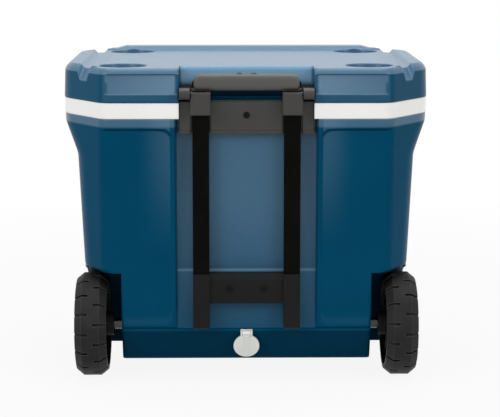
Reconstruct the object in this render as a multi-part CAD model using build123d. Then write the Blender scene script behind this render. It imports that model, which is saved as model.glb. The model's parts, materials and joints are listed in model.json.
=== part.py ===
from build123d import *
import os
from math import atan2, cos, degrees, radians, sin, tan

# Wheeled cooler, in millimetres. Seen from the wheel side, +X is right, +Y goes into the picture, +Z is up.
# Every piece is made with Y = 0 on the lid's rear edge, then moved so that the origin lies on the ground
# under the middle of the whole object.

# Lid and rim outline
lid_width = 580.0
lid_depth = 445.0
facet_width = 68.0            # corner facets, along the rear face of the lid
facet_angle = 54.7            # degrees from the rear face
crease_round = 25.0           # where a facet leaves the rear face
facet_round = 80.0            # where it meets the end
wall = 3.0                    # moulded shell, rim and lid walls

# Heights, from the ground up
base_clearance = 30.0
base_band = 54.0
wall_rise = 274.0
shoulder_rise = 50.0
rim_strip = 13.0
rim_band = 24.4
lid_gap = 0.4                 # closed lid above the rim
lid_skirt = 43.2
lid_bevel = 11.5
lid_draft = 2.0               # degrees
bevel_angle = 41.0            # degrees from upright

# How far the body stands inside the lid's outline, at the ends and at front and rear
base_in = (41.0, 43.0)
step_in = (35.1, 22.0)
shoulder_in = (22.2, 5.0)
rim_in = (1.5, 0.5)

# Tub
liner_wall = 2.5
tub_top_in = (60.0, 66.0)
tub_floor_in = (76.0, 74.0)
tub_front_in = 51.0
tub_corner = 45.0
floor_foam = 39.5
wheel_foam = 22.0             # insulation between a wheel well and the tub

# Rear handle recess and moulded panels
recess_half = 110.0
recess_depth = 24.0
recess_foot = 2.0             # above the step
panel_inner = 117.0
panel_step = 4.0
panel_top_gap = 4.0
panel_foot_gap = 12.0
panel_radius = 14.0
panel_foot_step = 1.0         # depth left where a panel dies out at the step

# Hand-holds in the ends
hold_length = 130.0
hold_depth = 27.0
hold_rise = 53.0
hold_lip = 18.0
hold_radius = 14.0

# Front feet
foot_from_end = 125.0
foot_length = 90.0
foot_depth = 60.0
foot_from_front = 95.0
foot_chamfer = 3.0

# Lid details
ridge_width = 18.5
groove_width = 22.0
groove_depth = 6.0
scoop_drop = 17.5             # scoop where a groove runs out through a corner facet
scoop_from_end = 34.0
scoop_setback = 16.5
scoop_run = 15.2
scoop_half = 9.5
scoop_flare = 0.59            # how far the scoop's sides lean out, over their height
platform_drop = 2.0
lip_rise = 6.0
lip_depth = 44.0
lip_from_front = 12.0
lip_run = 15.0                # length of the slope at each end of the lip
cup_radius = 37.5
cup_depth = 15.0
cup_from_end = 97.0
cup_rear = 62.0
cup_front = 93.0
lid_panel_depth = (2.2, 5.5)  # at the foot and under the bevel
lid_panel_foot = 13.1
lid_panel_side = 5.0          # from the notch
lid_panel_end = 74.0          # from the lid's end
notch_half = 104.5
notch_depth = 46.0
ledge_reach = 9.0             # bowed ledge at the foot of the notch's back wall
ledge_bow = 6.0
ledge_rise = 6.0
plug_depth = 12.0
plug_gap = 5.0

# Handle
tube_x = 71.0
tube_y = 13.0
tube_width = 25.6
tube_depth = 16.0
tube_wall = 1.6
slide_gap = 0.3
rail_gap = 0.4
rail_wall = 1.5
bush_height = 15.0
stop_height = 15.0
stop_gap = 0.5
seat_gap = 0.3
fit_gap = 0.05                # fixed pieces in their sockets
run_gap = 0.06                # pins and axles that turn
grip_half = 81.7
grip_rise = 19.6
grip_height = 25.0
grip_depth = 26.0
grip_y = 9.5
grip_round = 11.0
grip_under_round = 3.6
neck_margin = 1.2
tube_in_grip = 13.0

# Brackets
plate_front = 10.0
plate_rise = 2.4              # above the rim band
plate_drop = 44.4
collar_margin = 2.7
collar_front = -8.0
collar_drop = 18.4
collar_rise = 17.1
bracket_chamfer = 1.3
post_foot = 4.0
post_height = 88.0
post_chamfer = 2.6
cross_height = 47.0
cross_front = 7.0
cross_bevel = 9.0
cross_slope = 4.5             # how far the bevel leans back
screw_radius = 2.5
screw_head_radius = 5.0
screw_head = 2.6
flat_head = 1.3               # low head of the hinge screws
screw_length = 24.0
boss_radius = 7.0
upper_screw_drop = 19.4
lower_screw_x = 27.0

# Lid hinge
hinge_y = -3.0
hinge_rise = 14.6
barrel_radius = 9.0
hinge_side_gap = 0.7
pin_radius = 3.0
pin_grip = 24.0
leaf = 3.0
leaf_height = 20.0
arm_height = 12.0

# Wheels
wheel_radius = 82.5
wheel_width = 49.6
wheel_from_end = 19.4
axle_from_rear = 70.0
lug_height = 5.0
lugs_per_row = 16
lug_gap = 5.0                 # between lugs, along the tread
shoulder_width = 11.0
shoulder_drop = 9.0
row_overlap = 4.0             # each row of lugs crosses the middle of the tread
rim_thickness = 14.0
web_thickness = 5.0
hub_radius = 19.0
hub_overhang = 9.0
hub_recess = 5.0
rib_count = 10
rib_thickness = 5.0
rib_setback = 7.0
axle_radius = 6.0
axle_grip = 38.0
spacer_length = 14.0
spacer_radius = 8.5
axle_boss_radius = 12.5
axle_side_gap = 0.5
cap_radius = 13.0
cap_depth = 6.0
cap_gap = 0.8
well_gap = 9.5

# Drain
drain_rise = 27.7
spout_bore = 9.0
spout_wall = 2.2
flange_radius = 18.5
flange = 2.0
gasket = 1.5
nut_radius = 14.5
nut_depth = 6.0
sump_half = 25.0
sump_length = 40.0
sump_depth_in = 44.0          # outer face to sump wall, along the drain
sump_gap = 2.0                # round the nut
disc_radius = 20.5
disc = 4.0
disc_gap = 0.3
disc_round = 1.0
nose_radius = 7.5
nose_length = 5.0
pivot_rise = 24.6
strap_width = 13.0
strap_gap = 0.4
ear = 2.6
eye_radius = 3.4
drain_pin_radius = 1.5

# Places worked out from the sizes above
step_z = base_clearance + base_band
recess_bottom = step_z + recess_foot
seam_z = recess_bottom - wall         # base and walls meet here
shoulder_z = step_z + wall_rise
rim_z = shoulder_z + shoulder_rise
body_top = rim_z + rim_strip
band_top = body_top + rim_band
lid_bottom = band_top + lid_gap
lid_edge = lid_bottom + lid_skirt
lid_top = lid_edge + lid_bevel
platform_z = lid_top - platform_drop
floor_z = base_clearance + wall + floor_foam + liner_wall
axle_z = wheel_radius
panel_outer = lid_width / 2 + panel_radius     # past the ends: the panels run out round the corners
facet_start = lid_width / 2 - facet_width
scoop_x = lid_width / 2 - scoop_from_end
foot_x = lid_width / 2 - foot_from_end
cup_x = lid_width / 2 - cup_from_end
wheel_inner_x = lid_width / 2 - wheel_from_end - wheel_width
well_inner_x = wheel_inner_x - hub_overhang - axle_side_gap - spacer_length
well_radius = wheel_radius + well_gap
hinge_z = band_top + hinge_rise
collar_half = tube_width / 2 + collar_margin
collar_top = band_top + collar_rise
grip_bottom = band_top + grip_rise
post_bottom = step_z + post_foot
post_top = post_bottom + post_height
tube_bottom = post_top + seat_gap
tube_top = grip_bottom + tube_in_grip
stop_bottom = collar_top - stop_height - stop_gap
tube_inside = (tube_width - 2 * tube_wall, tube_depth - 2 * tube_wall)
rail_width = tube_inside[0] - 2 * rail_gap
rail_depth = tube_inside[1] - 2 * rail_gap
travel = stop_bottom - tube_bottom - bush_height - stop_gap
reach = max(lid_width, lid_depth)      # longer than any piece, for cuts that run right through
wheel_overhang = wheel_radius - axle_from_rear
rear_y = -(lid_depth - wheel_overhang) / 2


def block(x0, x1, y0, y1, z0, z1):
    centre = Pos((x0 + x1) / 2, (y0 + y1) / 2, (z0 + z1) / 2)
    return centre * Box(x1 - x0, y1 - y0, z1 - z0)


def rod_x(x0, x1, y, z, radius):
    return Pos((x0 + x1) / 2, y, z) * Rot(0, 90, 0) * Cylinder(radius, x1 - x0)


def rod_y(x, y0, y1, z, radius):
    return Pos(x, (y0 + y1) / 2, z) * Rot(90, 0, 0) * Cylinder(radius, y1 - y0)


def both_sides(piece):
    return piece + mirror(piece, about=Plane.YZ)


def outline(z, end_in, rear_in, front_in, radius):
    width = lid_width - 2 * end_in
    depth = lid_depth - rear_in - front_in
    return Pos(0, (lid_depth + rear_in - front_in) / 2, z) * RectangleRounded(width, depth, radius)


def stack(levels):
    return loft([outline(*level) for level in levels], ruled=True)


def facet_rise(width):
    # How far a corner facet goes towards the middle of the end over this width
    return width * tan(radians(facet_angle))


def facet_outline(z, end_in, face_in, inset):
    # Rectangle with a facet at each corner, which starts as far from the middle at every height
    half = lid_width / 2 - end_in - inset
    start = facet_start - inset * tan(radians(facet_angle / 2))
    rear = face_in + inset
    corner = [(start, rear), (half, rear + facet_rise(half - start))]
    right = corner + [(x, lid_depth - y) for x, y in reversed(corner)]
    left = [(-x, y) for x, y in reversed(right)]
    room = (half - start) / cos(radians(facet_angle))
    crease = min(crease_round - inset, room / 3 / tan(radians(facet_angle / 2)))
    bend = min(facet_round - inset, room / 2 / tan(radians(45 - facet_angle / 2)))
    ring = FilletPolyline(*right, *left, radius=[crease, bend, bend, crease] * 2, close=True)
    return Pos(0, 0, z) * make_face(ring)


def prism_x(points, x0, x1):
    # Side view (y, z) pulled along X
    face = Plane.YZ.offset(x0) * make_face(Polyline(*points, close=True))
    return extrude(face, x1 - x0)


# Body: one form, drawn again a wall further in for the insulation

def wheel_well(inset):
    x0 = well_inner_x - inset
    radius = well_radius + inset
    arch = rod_x(x0, reach, axle_from_rear, axle_z, radius)
    behind = block(x0, reach, -reach, axle_from_rear, axle_z, axle_z + radius)
    below = block(x0, reach, -reach, axle_from_rear + radius, -reach, axle_z)
    return both_sides(arch + behind + below)


def handle_recess(half, inset, bottom):
    return block(-half - inset, half + inset, -reach, recess_depth + inset, bottom - inset, reach)


def panel_cut(x0, x1, inset):
    # Recessed panel: a rounded window, cut back to a drafted plane that dies out at the step
    top = rim_z - panel_top_gap
    bottom = step_z + panel_foot_gap
    width = x1 - x0 + 2 * inset
    window = RectangleRounded(width, top - bottom + 2 * inset, panel_radius + inset)
    window = Plane.XZ * Pos((x0 + x1) / 2, (top + bottom) / 2) * window
    window = extrude(window, reach, both=True)
    head = panel_step + inset
    foot = step_in[1] + panel_foot_step + inset
    edge = [(-reach, reach), (head, reach), (head, top), (foot, step_z), (foot, -reach), (-reach, -reach)]
    return window & prism_x(edge, -reach, reach)


def hand_hold(inset):
    inner = lid_width / 2 - rim_in[0] - hold_depth - inset
    top = body_top - hold_lip + inset
    half = hold_length / 2 + inset
    middle = lid_depth / 2
    cut = block(inner, reach, middle - half, middle + half, top - hold_rise - 2 * inset, top)
    edges = cut.edges().filter_by(Axis.X)
    return both_sides(fillet(edges, hold_radius))


def make_front_foot():
    y1 = lid_depth - foot_from_front + foot_depth / 2
    half = foot_length / 2
    foot = block(foot_x - half, foot_x + half, y1 - foot_depth, y1, 0, base_clearance)
    return chamfer(foot.edges().group_by(Axis.Z)[0], foot_chamfer)


def body_form(inset, top):
    levels = [(base_clearance + inset, base_in), (step_z, step_in), (shoulder_z, shoulder_in)]
    levels += [(rim_z, rim_in), (top, rim_in)]
    form = loft([facet_outline(z, *back, inset) for z, back in levels], ruled=True)
    form -= wheel_well(inset)
    form -= handle_recess(recess_half, inset, recess_bottom)
    rear_panel = panel_cut(panel_inner, panel_outer, inset)
    front_panel = panel_cut(-panel_outer, panel_outer, inset)
    form -= both_sides(rear_panel)
    form -= mirror(front_panel, about=Plane.XZ.offset(-lid_depth / 2))
    return form - hand_hold(inset)


def tub_form(grow, top):
    floor = floor_z - grow
    rings = []
    for z, back in ((floor, tub_floor_in), (band_top, tub_top_in)):
        front = tub_front_in + back[1] - tub_top_in[1]
        rings.append((z, back[0] - grow, back[1] - grow, front - grow, tub_corner + grow))
    form = stack(rings)
    if top > band_top:
        rings = [(z,) + rings[1][1:] for z in (band_top, top)]
        form += stack(rings)
    step_x = well_inner_x - axle_grip - wall - liner_wall + grow
    step_y = axle_from_rear + well_radius + wall + wheel_foam + liner_wall - grow
    step_top = axle_z + well_radius + wall + wheel_foam + liner_wall - grow
    return form - both_sides(block(step_x, reach, -reach, step_y, -reach, step_top))


# Drain frame: on the undercut base, local Y up the face and local Z straight out of it
face_run = base_in[1] - step_in[1]
face_tilt = atan2(face_run, base_band)
drain_y = step_in[1] + face_run * (base_band - drain_rise) / base_band
drain_point = (0, drain_y, base_clearance + drain_rise)
drain_out = (0, -cos(face_tilt), -sin(face_tilt))
drain = Location(Plane(drain_point, (1, 0, 0), drain_out))
drain_hole = spout_bore + spout_wall + fit_gap
pivot_out = gasket + flange + disc_gap + disc / 2


def drain_rod(z0, z1, radius, y=0.0):
    return drain * Pos(0, y, (z0 + z1) / 2) * Cylinder(radius, z1 - z0)


def drain_block(half, y0, y1, z0, z1):
    return drain * Pos(0, (y0 + y1) / 2, (z0 + z1) / 2) * Box(2 * half, y1 - y0, z1 - z0)


def drain_cross(radius, length):
    # Rod along the pivot of the drain cap's strap
    return drain * Pos(0, pivot_rise, pivot_out) * Rot(0, 90, 0) * Cylinder(radius, length)


def sump(grow):
    deep = sump_depth_in - grow
    end = sump_depth_in + sump_length + grow
    side = nut_radius + sump_gap + grow
    return drain_block(sump_half + grow, -side, side, -end, -deep)


def axle_rod(x1, radius):
    return both_sides(rod_x(well_inner_x - axle_grip, x1, axle_from_rear, axle_z, radius))


def shell_between(z0, z1):
    shell = body_form(0, body_top) - body_form(wall, reach)
    return shell & block(-reach, reach, -reach, reach, z0, z1)


def make_outer_shell():
    shell = shell_between(seam_z, reach) - axle_rod(well_inner_x - wall / 2, axle_boss_radius)
    shell -= axle_rod(well_inner_x, axle_radius + fit_gap)
    for x, z in lower_screws:
        shell += rod_y(x, recess_depth + wall / 2, recess_depth + screw_length, z, boss_radius)
        shell -= rod_y(x, 0, recess_depth + screw_length, z, screw_radius + fit_gap)
    return shell


def make_base_shell():
    base = shell_between(0, seam_z) + axle_rod(well_inner_x - wall / 2, axle_boss_radius)
    base -= axle_rod(well_inner_x, axle_radius + fit_gap)
    return base - drain_rod(-sump_depth_in / 2, disc, drain_hole)


def make_rim_band():
    def rim(inset, z0, z1):
        ring = extrude(facet_outline(z0, rim_in[1], rim_in[1], inset), z1 - z0)
        return ring - handle_recess(notch_half, inset, z0)

    band = rim(0, body_top, band_top) - rim(wall, 0, band_top - wall)
    band -= tub_form(0, band_top + wall)
    band += rod_y(0, recess_depth + wall, recess_depth + screw_length, upper_screw_z, boss_radius)
    return band - rod_y(0, 0, recess_depth + screw_length, upper_screw_z, screw_radius + fit_gap)


def make_inner_liner():
    liner = tub_form(liner_wall, band_top) + sump(liner_wall)
    liner -= tub_form(0, band_top + wall)
    liner -= sump(0)
    liner -= block(-reach, reach, -reach, reach, band_top - wall, reach)
    return liner - drain_rod(-sump_depth_in - sump_length / 2, -sump_depth_in / 2, drain_hole)


def make_foam_core():
    foam = body_form(wall, band_top - wall) - tub_form(liner_wall, reach) - sump(liner_wall)
    foam -= handle_recess(recess_half, wall, recess_bottom)
    foam -= both_sides(rod_x(well_inner_x - axle_grip, reach, axle_from_rear, axle_z, axle_boss_radius))
    for x, z in lower_screws + [(0, upper_screw_z)]:
        foam -= rod_y(x, 0, recess_depth + screw_length, z, boss_radius)
    return foam - drain_rod(-sump_depth_in, disc, drain_hole)


# Lid: same idea, one form drawn twice

def lid_form(inset, bottom):
    back = inset + (lid_edge - lid_bottom) * tan(radians(lid_draft))
    skirt = facet_outline(lid_bottom, 0, 0, inset)
    crown = facet_outline(lid_edge, 0, 0, back)
    form = extrude(skirt, lid_edge - lid_bottom, taper=lid_draft)
    form += extrude(crown, lid_bevel - inset, taper=bevel_angle)
    if bottom < lid_bottom:
        form += extrude(skirt, bottom - lid_bottom)
    platform_half = lid_width / 2 - ridge_width - lid_bevel - groove_width
    lip_height = platform_z + lip_rise - inset - lid_edge
    form += front_lip(inset) & extrude(crown, lip_height, taper=bevel_angle)
    form -= block(-platform_half, platform_half, -reach, lid_depth - lip_from_front - lip_depth,
                  platform_z - inset, reach)
    form -= both_sides(groove(platform_half, inset))
    for x, y in cups:
        floor = platform_z - cup_depth - inset
        form -= Pos(x, y, floor + reach / 2) * Cylinder(cup_radius + inset, reach)
    form -= block(-notch_half - inset, notch_half + inset, -reach, notch_depth + inset, -reach, reach)
    panel_x0 = notch_half + lid_panel_side
    panel_x1 = lid_width / 2 - lid_panel_end
    foot, head = lid_panel_depth
    z0 = lid_bottom + lid_panel_foot - inset
    z1 = lid_edge + inset
    panel = [(-reach, z0), (foot + inset, z0), (head + inset, z1), (-reach, z1)]
    return form - both_sides(prism_x(panel, panel_x0 - inset, panel_x1 + inset))


def front_lip(inset):
    # The lip ends where the corner facets begin
    half = facet_start - inset
    y1 = lid_depth - lip_from_front - inset
    y0 = y1 - lip_depth + 2 * inset
    z0 = lid_edge
    z1 = platform_z + lip_rise - inset
    slope = lip_rise
    side = [(y0, z0), (y0, platform_z - inset), (y0 + slope, z1)]
    side += [(y1 - slope, z1), (y1, lid_top - inset), (y1, z0)]
    bar = prism_x(side, -half, half)
    top_half = half - lip_run
    ends = Polyline((-half, z0), (half, z0), (half, lid_top - inset), (top_half, z1), (-top_half, z1),
                    (-half, lid_top - inset), close=True)
    return bar & extrude(Plane.XZ * make_face(ends), reach, both=True)


def groove(inner, inset):
    # Trough between the end ridge and the middle of the lid; a scoop square to the corner facet takes it out
    slope = groove_depth
    floor = lid_top - groove_depth - inset
    x0 = inner - inset
    x1 = inner + groove_width + inset
    section = Polyline((x0, reach), (x0, lid_top), (x0 + slope, floor), (x1 - slope, floor), (x1, lid_top),
                       (x1, reach), close=True)
    trough = extrude(Plane.XZ * make_face(section), -lid_depth - reach)
    lip_y = scoop_setback + inset
    foot = floor - scoop_drop
    above = ((lip_y, floor), (lip_y - scoop_run, foot), (-reach, foot), (-reach, lid_top), (lip_y, lid_top))
    low = scoop_half + inset
    high = low + (lid_top - foot) * scoop_flare
    sides = Polyline((-low, foot), (low, foot), (high, lid_top), (-high, lid_top), close=True)
    scoop = prism_x(above, -reach, reach) & extrude(Plane.XZ * make_face(sides), reach, both=True)
    scoop = Pos(scoop_x, facet_rise(scoop_x - facet_start), 0) * Rot(0, 0, facet_angle) * scoop
    other = mirror(scoop, about=Plane.XZ.offset(-lid_depth / 2))
    return Pos(0, -reach / 2, 0) * trough + scoop + other


def make_lid_shell():
    shell = lid_form(0, lid_bottom) - lid_form(wall, lid_bottom - wall)
    ledge_half = tube_x - collar_half
    tip = notch_depth - ledge_reach
    root = notch_depth + wall / 2
    side = tip + ledge_bow
    back = Polyline((ledge_half, side), (ledge_half, root), (-ledge_half, root), (-ledge_half, side))
    front = ThreePointArc((-ledge_half, side), (0, tip), (ledge_half, side))
    ledge = Pos(0, 0, lid_bottom) * make_face([back, front])
    shell += extrude(ledge, ledge_rise)
    for x, z in leaf_screws:
        boss = rod_y(x, notch_depth + wall / 2, notch_depth + screw_length, z, boss_radius)
        shell += boss
        shell -= rod_y(x, 0, notch_depth + screw_length, z, screw_radius + fit_gap)
    return shell


def lid_plug(inset):
    rings = []
    for z in (band_top - plug_depth + inset, lid_bottom + wall):
        rings.append((z, tub_top_in[0] + plug_gap + inset, tub_top_in[1] + plug_gap + inset,
                      tub_front_in + plug_gap + inset, tub_corner - inset))
    return stack(rings)


def make_lid_liner():
    slab = block(-reach, reach, -reach, reach, lid_bottom, lid_bottom + wall)
    panel = lid_form(wall, lid_bottom - wall) & slab
    liner = (panel + lid_plug(0)) - lid_plug(wall)
    return liner - lid_bosses()


def make_lid_foam():
    above = block(-reach, reach, -reach, reach, lid_bottom + wall, reach)
    foam = (lid_form(wall, lid_bottom - wall) & above) + lid_plug(wall)
    return foam - lid_bosses()


def lid_bosses():
    bosses = None
    for x, z in leaf_screws:
        boss = rod_y(x, 0, notch_depth + screw_length, z, boss_radius)
        bosses = boss if bosses is None else bosses + boss
    return bosses


cups = [(side * cup_x, y) for side in (-1, 1) for y in (cup_rear, lid_depth - cup_front)]
upper_screw_z = band_top - upper_screw_drop
cross_bottom = post_top - cross_height
lower_screws = [(side * lower_screw_x, cross_bottom + cross_height / 2) for side in (-1, 1)]
hinge_outer = notch_half - hinge_side_gap
hinge_inner = tube_x + collar_half + hinge_side_gap
leaf_inner = tube_x - collar_half + hinge_side_gap
leaf_screw_x = (leaf_inner + boss_radius, tube_x + boss_radius / 2)
leaf_screws = [(side * x, hinge_z) for side in (-1, 1) for x in leaf_screw_x]


# Handle

def tube_bar(z0, z1, width, depth):
    return block(tube_x - width / 2, tube_x + width / 2, tube_y - depth / 2, tube_y + depth / 2, z0, z1)


def make_upper_bracket():
    bottom = band_top - plate_drop
    bracket = block(-hinge_outer, hinge_outer, plate_front, recess_depth, bottom, band_top + plate_rise)
    edge = bracket.edges().filter_by(Axis.X).group_by(Axis.Y)[0]
    bracket = chamfer(edge, bracket_chamfer)
    collar = block(tube_x - collar_half, tube_x + collar_half, collar_front, recess_depth,
                   band_top - collar_drop, collar_top)
    rim_edges = collar.edges().group_by(Axis.Y)[0]
    bracket += both_sides(chamfer(rim_edges, bracket_chamfer))
    open_width = tube_width + 2 * slide_gap
    bracket -= both_sides(tube_bar(0, reach, open_width, tube_depth + 2 * slide_gap))
    front = block(tube_x - collar_half, tube_x + collar_half, -reach, tube_y, 0, band_top - collar_drop)
    bracket -= both_sides(front)
    pin_hole = rod_x(hinge_inner - pin_grip, hinge_outer, hinge_y, hinge_z, pin_radius + fit_gap)
    bracket -= both_sides(pin_hole)
    return bracket - rod_y(0, -reach, reach, upper_screw_z, screw_radius + fit_gap)


def make_lower_bracket():
    post = tube_bar(post_bottom, post_top, tube_width, 2 * (recess_depth - tube_y))
    post = chamfer(post.edges().group_by(Axis.Z)[0], post_chamfer)
    half = tube_x - tube_width / 2 + wall
    side = ((recess_depth, cross_bottom), (cross_front, cross_bottom), (cross_front, post_top - cross_bevel),
            (cross_front + cross_slope, post_top), (recess_depth, post_top))
    bracket = both_sides(post) + prism_x(side, -half, half)
    socket = tube_bar(post_bottom + wall, reach, rail_width + 2 * fit_gap, rail_depth + 2 * fit_gap)
    bracket -= both_sides(socket)
    for x, z in lower_screws:
        bracket -= rod_y(x, -reach, reach, z, screw_radius + fit_gap)
    return bracket


def screw(x, y, z):
    # Pan-head screw driven along +Y, its head against the face at y
    head = rod_y(x, y - screw_head, y, z, screw_head_radius)
    head = fillet(head.edges().group_by(Axis.Y)[0], screw_head / 2)
    drive = rod_y(x, y - screw_head, y - screw_head / 2, z, screw_radius / 2)
    return (head + rod_y(x, y, recess_depth + screw_length, z, screw_radius)) - drive


def make_leaf_screws():
    screws = []
    for x, z in leaf_screws:
        face = notch_depth - leaf
        head = rod_y(x, face - flat_head, face, z, screw_head_radius)
        screws.append(head + rod_y(x, face, notch_depth + screw_length, z, screw_radius))
    return Compound(children=screws)


def make_handle_tube():
    tube = tube_bar(tube_bottom, tube_top, tube_width, tube_depth)
    tube = fillet(tube.edges().filter_by(Axis.Z), tube_wall)
    tube -= tube_bar(0, reach, *tube_inside)
    return tube - grip_bore()


def make_inner_rail():
    rail = tube_bar(post_bottom + wall, stop_bottom, rail_width, rail_depth)
    return rail - tube_bar(0, reach, rail_width - 2 * rail_wall, rail_depth - 2 * rail_wall)


def make_tube_bush():
    # Liner fixed inside the tube's lower end; it meets the rail's stop when the handle is fully out
    bush = tube_bar(tube_bottom, tube_bottom + bush_height, *tube_inside)
    return bush - tube_bar(0, reach, rail_width + rail_gap, rail_depth + rail_gap)


def make_rail_stop():
    width, depth = tube_inside
    head = tube_bar(stop_bottom, stop_bottom + stop_height, width - slide_gap, depth - slide_gap)
    inside = (rail_width - 2 * (rail_wall + fit_gap), rail_depth - 2 * (rail_wall + fit_gap))
    return head + tube_bar(stop_bottom - stop_height, stop_bottom, *inside)


def grip_bore():
    return rod_y(tube_x, tube_y, reach, grip_bottom + tube_in_grip / 2, screw_radius + fit_gap)


def make_handle_grip():
    bar = block(-grip_half, grip_half, grip_y - grip_depth / 2, grip_y + grip_depth / 2,
                grip_bottom, grip_bottom + grip_height)
    bar = fillet(bar.edges().filter_by(Axis.X).group_by(Axis.Z)[-1], grip_round)
    bar = fillet(bar.edges().filter_by(Axis.X).group_by(Axis.Z)[0], grip_under_round)
    ends = bar.edges().filter_by(Axis.Y).group_by(Axis.Z)[-1]
    bar = fillet(ends, grip_round)
    neck = tube_bar(collar_top + stop_gap, grip_bottom + neck_margin, tube_width + 2 * neck_margin,
                    tube_depth + 2 * neck_margin)
    grip = bar + both_sides(neck)
    grip -= both_sides(tube_bar(0, tube_top, tube_width + 2 * fit_gap, tube_depth + 2 * fit_gap))
    return grip - both_sides(grip_bore())


def make_grip_screws():
    face = grip_y + grip_depth / 2
    z = grip_bottom + tube_in_grip / 2
    screws = []
    for side in (-1, 1):
        head = rod_y(side * tube_x, face, face + screw_head, z, screw_head_radius)
        shank = rod_y(side * tube_x, tube_y + wall, face, z, screw_radius)
        screws.append(head + shank)
    return Compound(children=screws)


# Lid hinge

def make_lid_hinge():
    barrel = rod_x(hinge_inner, hinge_outer, hinge_y, hinge_z, barrel_radius)
    half = arm_height / 2
    arm = block(hinge_inner, hinge_outer, hinge_y, notch_depth, hinge_z - half, hinge_z + half)
    plate = block(leaf_inner, hinge_outer, notch_depth - leaf, notch_depth,
                  hinge_z - leaf_height / 2, hinge_z + leaf_height / 2)
    hinge = barrel + arm + plate
    hinge -= rod_x(0, reach, hinge_y, hinge_z, pin_radius + run_gap)
    for x, z in leaf_screws:
        if x > 0:
            hinge -= rod_y(x, 0, reach, z, screw_radius + fit_gap)
    return hinge


def make_hinge_pin():
    return rod_x(hinge_inner - pin_grip, hinge_outer, hinge_y, hinge_z, pin_radius)


# Wheels: made on the +X side, then mirrored

def spin_x(points):
    # Half section (x, radius) turned about the axle
    face = make_face(Polyline(*points, close=True))
    return Pos(0, axle_from_rear, axle_z) * revolve(face, Axis.X, 360)


def make_wheel():
    x0 = wheel_inner_x
    x1 = wheel_inner_x + wheel_width
    hub0 = x0 - hub_overhang
    hub1 = x1 - hub_recess
    tread = wheel_radius - lug_height
    rim_inner = tread - rim_thickness
    web0 = (x0 + x1 - web_thickness) / 2
    web1 = web0 + web_thickness
    bore = axle_radius + run_gap
    cap_seat = cap_radius + cap_gap
    section = [(hub0, bore), (hub0, hub_radius), (web0, hub_radius), (web0, rim_inner)]
    section += [(x0, rim_inner + wall), (x0, tread - shoulder_drop), (x0 + shoulder_width, tread)]
    section += [(x1 - shoulder_width, tread), (x1, tread - shoulder_drop), (x1, rim_inner + wall)]
    section += [(web1, rim_inner), (web1, hub_radius), (hub1, hub_radius), (hub1, cap_seat)]
    section += [(hub1 - cap_depth, cap_seat), (hub1 - cap_depth, bore)]
    wheel = spin_x(section)
    rib = wheel_rib(rim_inner)
    ribs = [turn_x(rib, 360 * n / rib_count) for n in range(rib_count)]
    lugs = []
    pitch = 360 / lugs_per_row
    for row, shift in ((0, 0.0), (1, 0.5)):
        for n in range(lugs_per_row):
            lugs.append(turn_x(wheel_lug(row), (n + shift) * pitch))
    return wheel.fuse(*ribs, *lugs)


def turn_x(piece, angle):
    centre = Pos(0, axle_from_rear, axle_z)
    return centre * Rot(angle, 0, 0) * centre.inverse() * piece


def wheel_rib(rim_inner):
    x0 = wheel_inner_x + rib_setback
    x1 = wheel_inner_x + wheel_width - rib_setback
    half = rib_thickness / 2
    z0 = axle_z - rim_inner - wall
    z1 = axle_z - hub_radius + wall
    return block(x0, x1, axle_from_rear - half, axle_from_rear + half, z0, z1)


def wheel_lug(row):
    # A slice of the tread ring between two radial planes, at the bottom of the wheel
    middle = wheel_inner_x + wheel_width / 2
    half = wheel_width / 2
    root = wheel_radius - lug_height - shoulder_drop
    shoulder = wheel_radius - shoulder_drop
    edge = [(half, root), (half, shoulder), (half - shoulder_width, wheel_radius)]
    edge += [(-row_overlap, wheel_radius), (-row_overlap, root)]
    flip = -1 if row == 0 else 1
    angle = 360 / lugs_per_row - degrees(lug_gap / wheel_radius)
    face = make_face(Polyline(*[(middle + flip * x, r) for x, r in edge], close=True))
    ring = revolve(Rot(-90 - angle / 2, 0, 0) * face, Axis.X, angle)
    return Pos(0, axle_from_rear, axle_z) * ring


def make_axle():
    inner = well_inner_x - axle_grip
    outer = wheel_inner_x + wheel_width - hub_recess - axle_side_gap
    return rod_x(inner, outer, axle_from_rear, axle_z, axle_radius)


def make_axle_spacer():
    spacer = rod_x(well_inner_x, well_inner_x + spacer_length, axle_from_rear, axle_z, spacer_radius)
    return spacer - rod_x(0, reach, axle_from_rear, axle_z, axle_radius + fit_gap)


def make_axle_cap():
    outer = wheel_inner_x + wheel_width - hub_recess
    cap = rod_x(outer - cap_depth + axle_side_gap, outer + wall, axle_from_rear, axle_z, cap_radius)
    cap = fillet(cap.edges().group_by(Axis.X)[-1], wall / 2)
    return cap - rod_x(0, outer - axle_side_gap, axle_from_rear, axle_z, axle_radius + fit_gap)


# Drain

def make_drain_spout():
    outer = spout_bore + spout_wall
    spout = drain_rod(-sump_depth_in - nut_depth, gasket, outer)
    spout += drain_rod(gasket, gasket + flange, flange_radius)
    return spout - drain_rod(-reach / 2, reach / 2, spout_bore)


def drain_ring(z0, z1, radius):
    return drain_rod(z0, z1, radius) - drain_rod(z0 - wall, z1 + wall, drain_hole)


def make_drain_cap():
    under = gasket + flange + disc_gap
    face = drain_rod(under, under + disc, disc_radius)
    face = fillet(face.faces().sort_by(Axis(drain_point, drain_out))[-1].edges(), disc_round)
    cap = face + drain_rod(under - nose_length, under, nose_radius)
    half = strap_width / 2
    cap += drain_block(half, 0, pivot_rise, under, under + disc)
    cap += drain_cross(eye_radius, 2 * half)
    return cap - drain_cross(drain_pin_radius + run_gap, reach)


def make_drain_anchor():
    inner = strap_width / 2 + strap_gap
    outer = inner + ear
    ears = None
    for side in (-1, 1):
        low = Pos(side * (inner + outer) / 2, pivot_rise, (pivot_out + eye_radius) / 2)
        lug = drain * low * Box(ear, 2 * eye_radius, pivot_out + eye_radius)
        ears = lug if ears is None else ears + lug
    foot = drain_block(outer, pivot_rise - eye_radius, pivot_rise + eye_radius, 0, gasket)
    anchor = ears + foot
    return anchor - drain_cross(drain_pin_radius + fit_gap, reach)


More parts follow.
